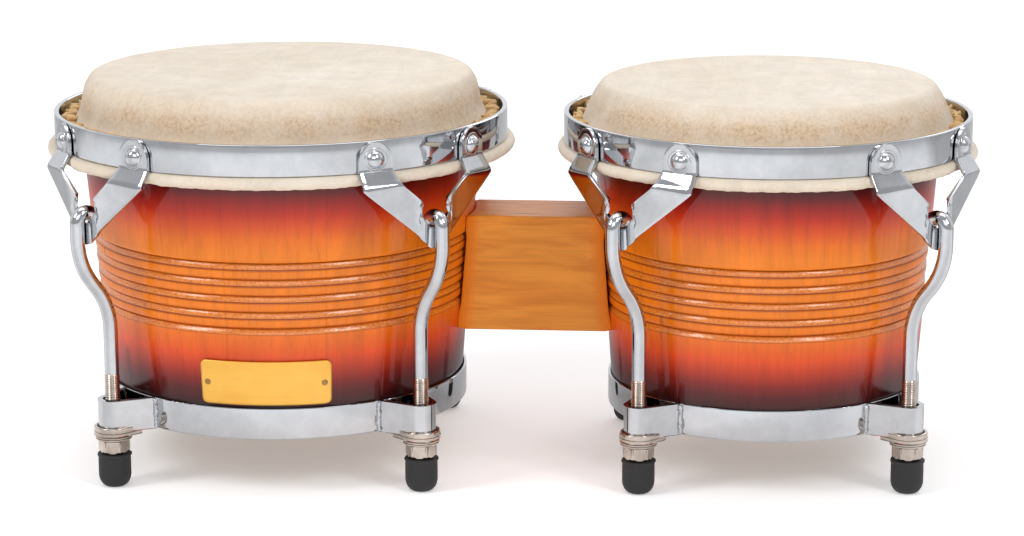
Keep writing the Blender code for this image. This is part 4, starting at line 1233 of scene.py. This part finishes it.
def add_stage():
    """Floor, sky and softboxes; the metal sees a brighter sky, darker towards the front."""
    mesh = bpy.data.meshes.new("floor")
    corners = [(x * FLOOR_HALF, y * FLOOR_HALF, 0) for x, y in ((-1, -1), (1, -1), (1, 1), (-1, 1))]
    mesh.from_pydata(corners, [], [(0, 1, 2, 3)])
    mesh.materials.append(floor_material())
    floor = bpy.data.objects.new("floor", mesh)
    bpy.context.scene.collection.objects.link(floor)
    world = bpy.data.worlds.new("studio")
    bpy.context.scene.world = world
    sky = Nodes(world)
    way = sky.node("SeparateXYZ", {0: sky.node("TexCoord").outputs["Generated"]}).outputs
    dome = sky.tree.nodes["Background"]
    tint = sky.ramp(way["Z"], (0.0, (0.50, 0.51, 0.54, 1)), (0.25, (0.70, 0.71, 0.74, 1)),
                    (1.0, (0.95, 0.96, 1.0, 1)))
    sky.fill(dome, {"Color": tint, "Strength": 0.5})
    gleam = sky.node("Background", {
        "Color": (0.97, 0.98, 1.0, 1),
        "Strength": sky.spread(way["Y"], 0.55, 1.0, -0.25, 0.15),
    })
    seen = sky.node("Background", {"Color": (0.93, 0.93, 0.94, 1)})
    ray = sky.node("LightPath").outputs
    shown = dome.outputs[0]
    for kind, other in (("Is Glossy Ray", gleam), ("Is Camera Ray", seen)):
        shown = sky.node("MixShader", {0: ray[kind], 1: shown, 2: other.outputs[0]}).outputs[0]
    sky.fill(sky.tree.nodes["World Output"], {"Surface": shown})
    for light in LIGHTS:
        add_softbox(*light)


def floor_material():
    """Near-white floor; glossy rays see it in bright and dark bands by direction, a painted
    reflection that falls off to the sides of the metal, as in a studio.
    """
    s = Shader("pale_floor", Roughness=0.9, IOR=1.3, Emission_Color=(1, 1, 1, 1),
               Emission_Strength=0.30)
    place = s.node("SeparateXYZ", {"Vector": s.position}).outputs
    front = s.times(place["Y"], -1.0)
    turn = s.spread(s.math("ARCTAN2", place["X"], front), 0.0, 1.0, -pi, pi)
    # painted reflection: bright and dark bands by direction, shown only to glossy rays, which the
    # metal mirrors
    bands = s.ramp(turn, (0.0, 0.34), (0.20, 0.36), (0.22, 0.80), (0.28, 0.86), (0.32, 0.60),
                   (0.385, 0.72), (0.425, 0.92), (0.53, 0.92), (0.57, 0.76), (0.66, 0.66),
                   (0.70, 0.88), (0.76, 0.86), (0.78, 0.34), (1.0, 0.34))
    glossy = s.node("LightPath").outputs["Is Glossy Ray"]
    pale = s.mix(s.noise(3.0, 3.0), 0.95, 0.965)
    s.link(s.mix(glossy, pale, bands), "Base Color")
    return s.material


def add_softbox(name, place, size, power):
    light = bpy.data.lights.new(name, "AREA")
    light.shape = "RECTANGLE"
    light.size, light.size_y = size
    light.energy = power
    lamp = bpy.data.objects.new(name, light)
    lamp.location = place
    lamp.rotation_euler = (Vector((0, 0, 0.1)) - Vector(place)).to_track_quat("-Z", "Y").to_euler()
    bpy.context.scene.collection.objects.link(lamp)


def add_camera():
    low, high = CAD_BOX
    target = Vector(((low.x + high.x) / 2 + 0.4 * MM, 0, 0.486 * high.z))
    pitch, turn = radians(CAMERA_DOWN), radians(CAMERA_TURN)
    ahead = Vector((-sin(turn) * cos(pitch), cos(turn) * cos(pitch), -sin(pitch)))
    data = bpy.data.cameras.new("camera")
    data.lens = CAMERA_LENS
    data.sensor_width = 36.0
    data.clip_start, data.clip_end = 0.01, 100.0
    camera = bpy.data.objects.new("camera", data)
    camera.location = target - ahead * CAMERA_DISTANCE
    camera.rotation_euler = ahead.to_track_quat("-Z", "Y").to_euler()
    camera.rotation_euler.rotate_axis("Z", radians(CAMERA_ROLL))
    bpy.context.scene.collection.objects.link(camera)
    bpy.context.scene.camera = camera
    bpy.context.scene.view_settings.view_transform = "Standard"


# ---- building ----

chrome = plated("chrome_plate", (198, 200, 203), (186, 188, 191), 0.05, 0.35, 0.06 * MM)
warm_nickel = plated("warm_nickel", (206, 196, 186), (176, 164, 154), 0.13, 0.5, 0.08 * MM)
zinc = plated("zinc_plate", (170, 172, 170), (130, 132, 130), 0.36, 0.6, 0.1 * MM)
brass = plated("aged_brass", (196, 160, 104), (150, 112, 66), 0.3, 0.5, 0.05 * MM)
black_rubber = rubber()

for drum in DRUMS:
    add_shell(drum)
    add_skin(drum, rawhide(drum))
    add_hoop(drum, chrome)
    add_ring(drum, chrome)
    for lug in LUGS:
        add_bracket(drum, lug, chrome)
        add_rod(drum, lug, chrome, warm_nickel)
        add_saddle(drum, lug, warm_nickel)
        add_nut(drum, lug, warm_nickel)
        add_foot(drum, lug, black_rubber)
add_block(honey_wood())
add_badge(gold_plate(), brass)
for kept in ("large_flesh_hoop", "small_flesh_hoop", "backing_plate_large", "backing_plate_small",
             "block_bolt_upper", "block_bolt_lower", "block_nut_upper", "block_nut_lower"):
    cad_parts[kept].data.materials.clear()
    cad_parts[kept].data.materials.append(zinc)
add_stage()
add_camera()
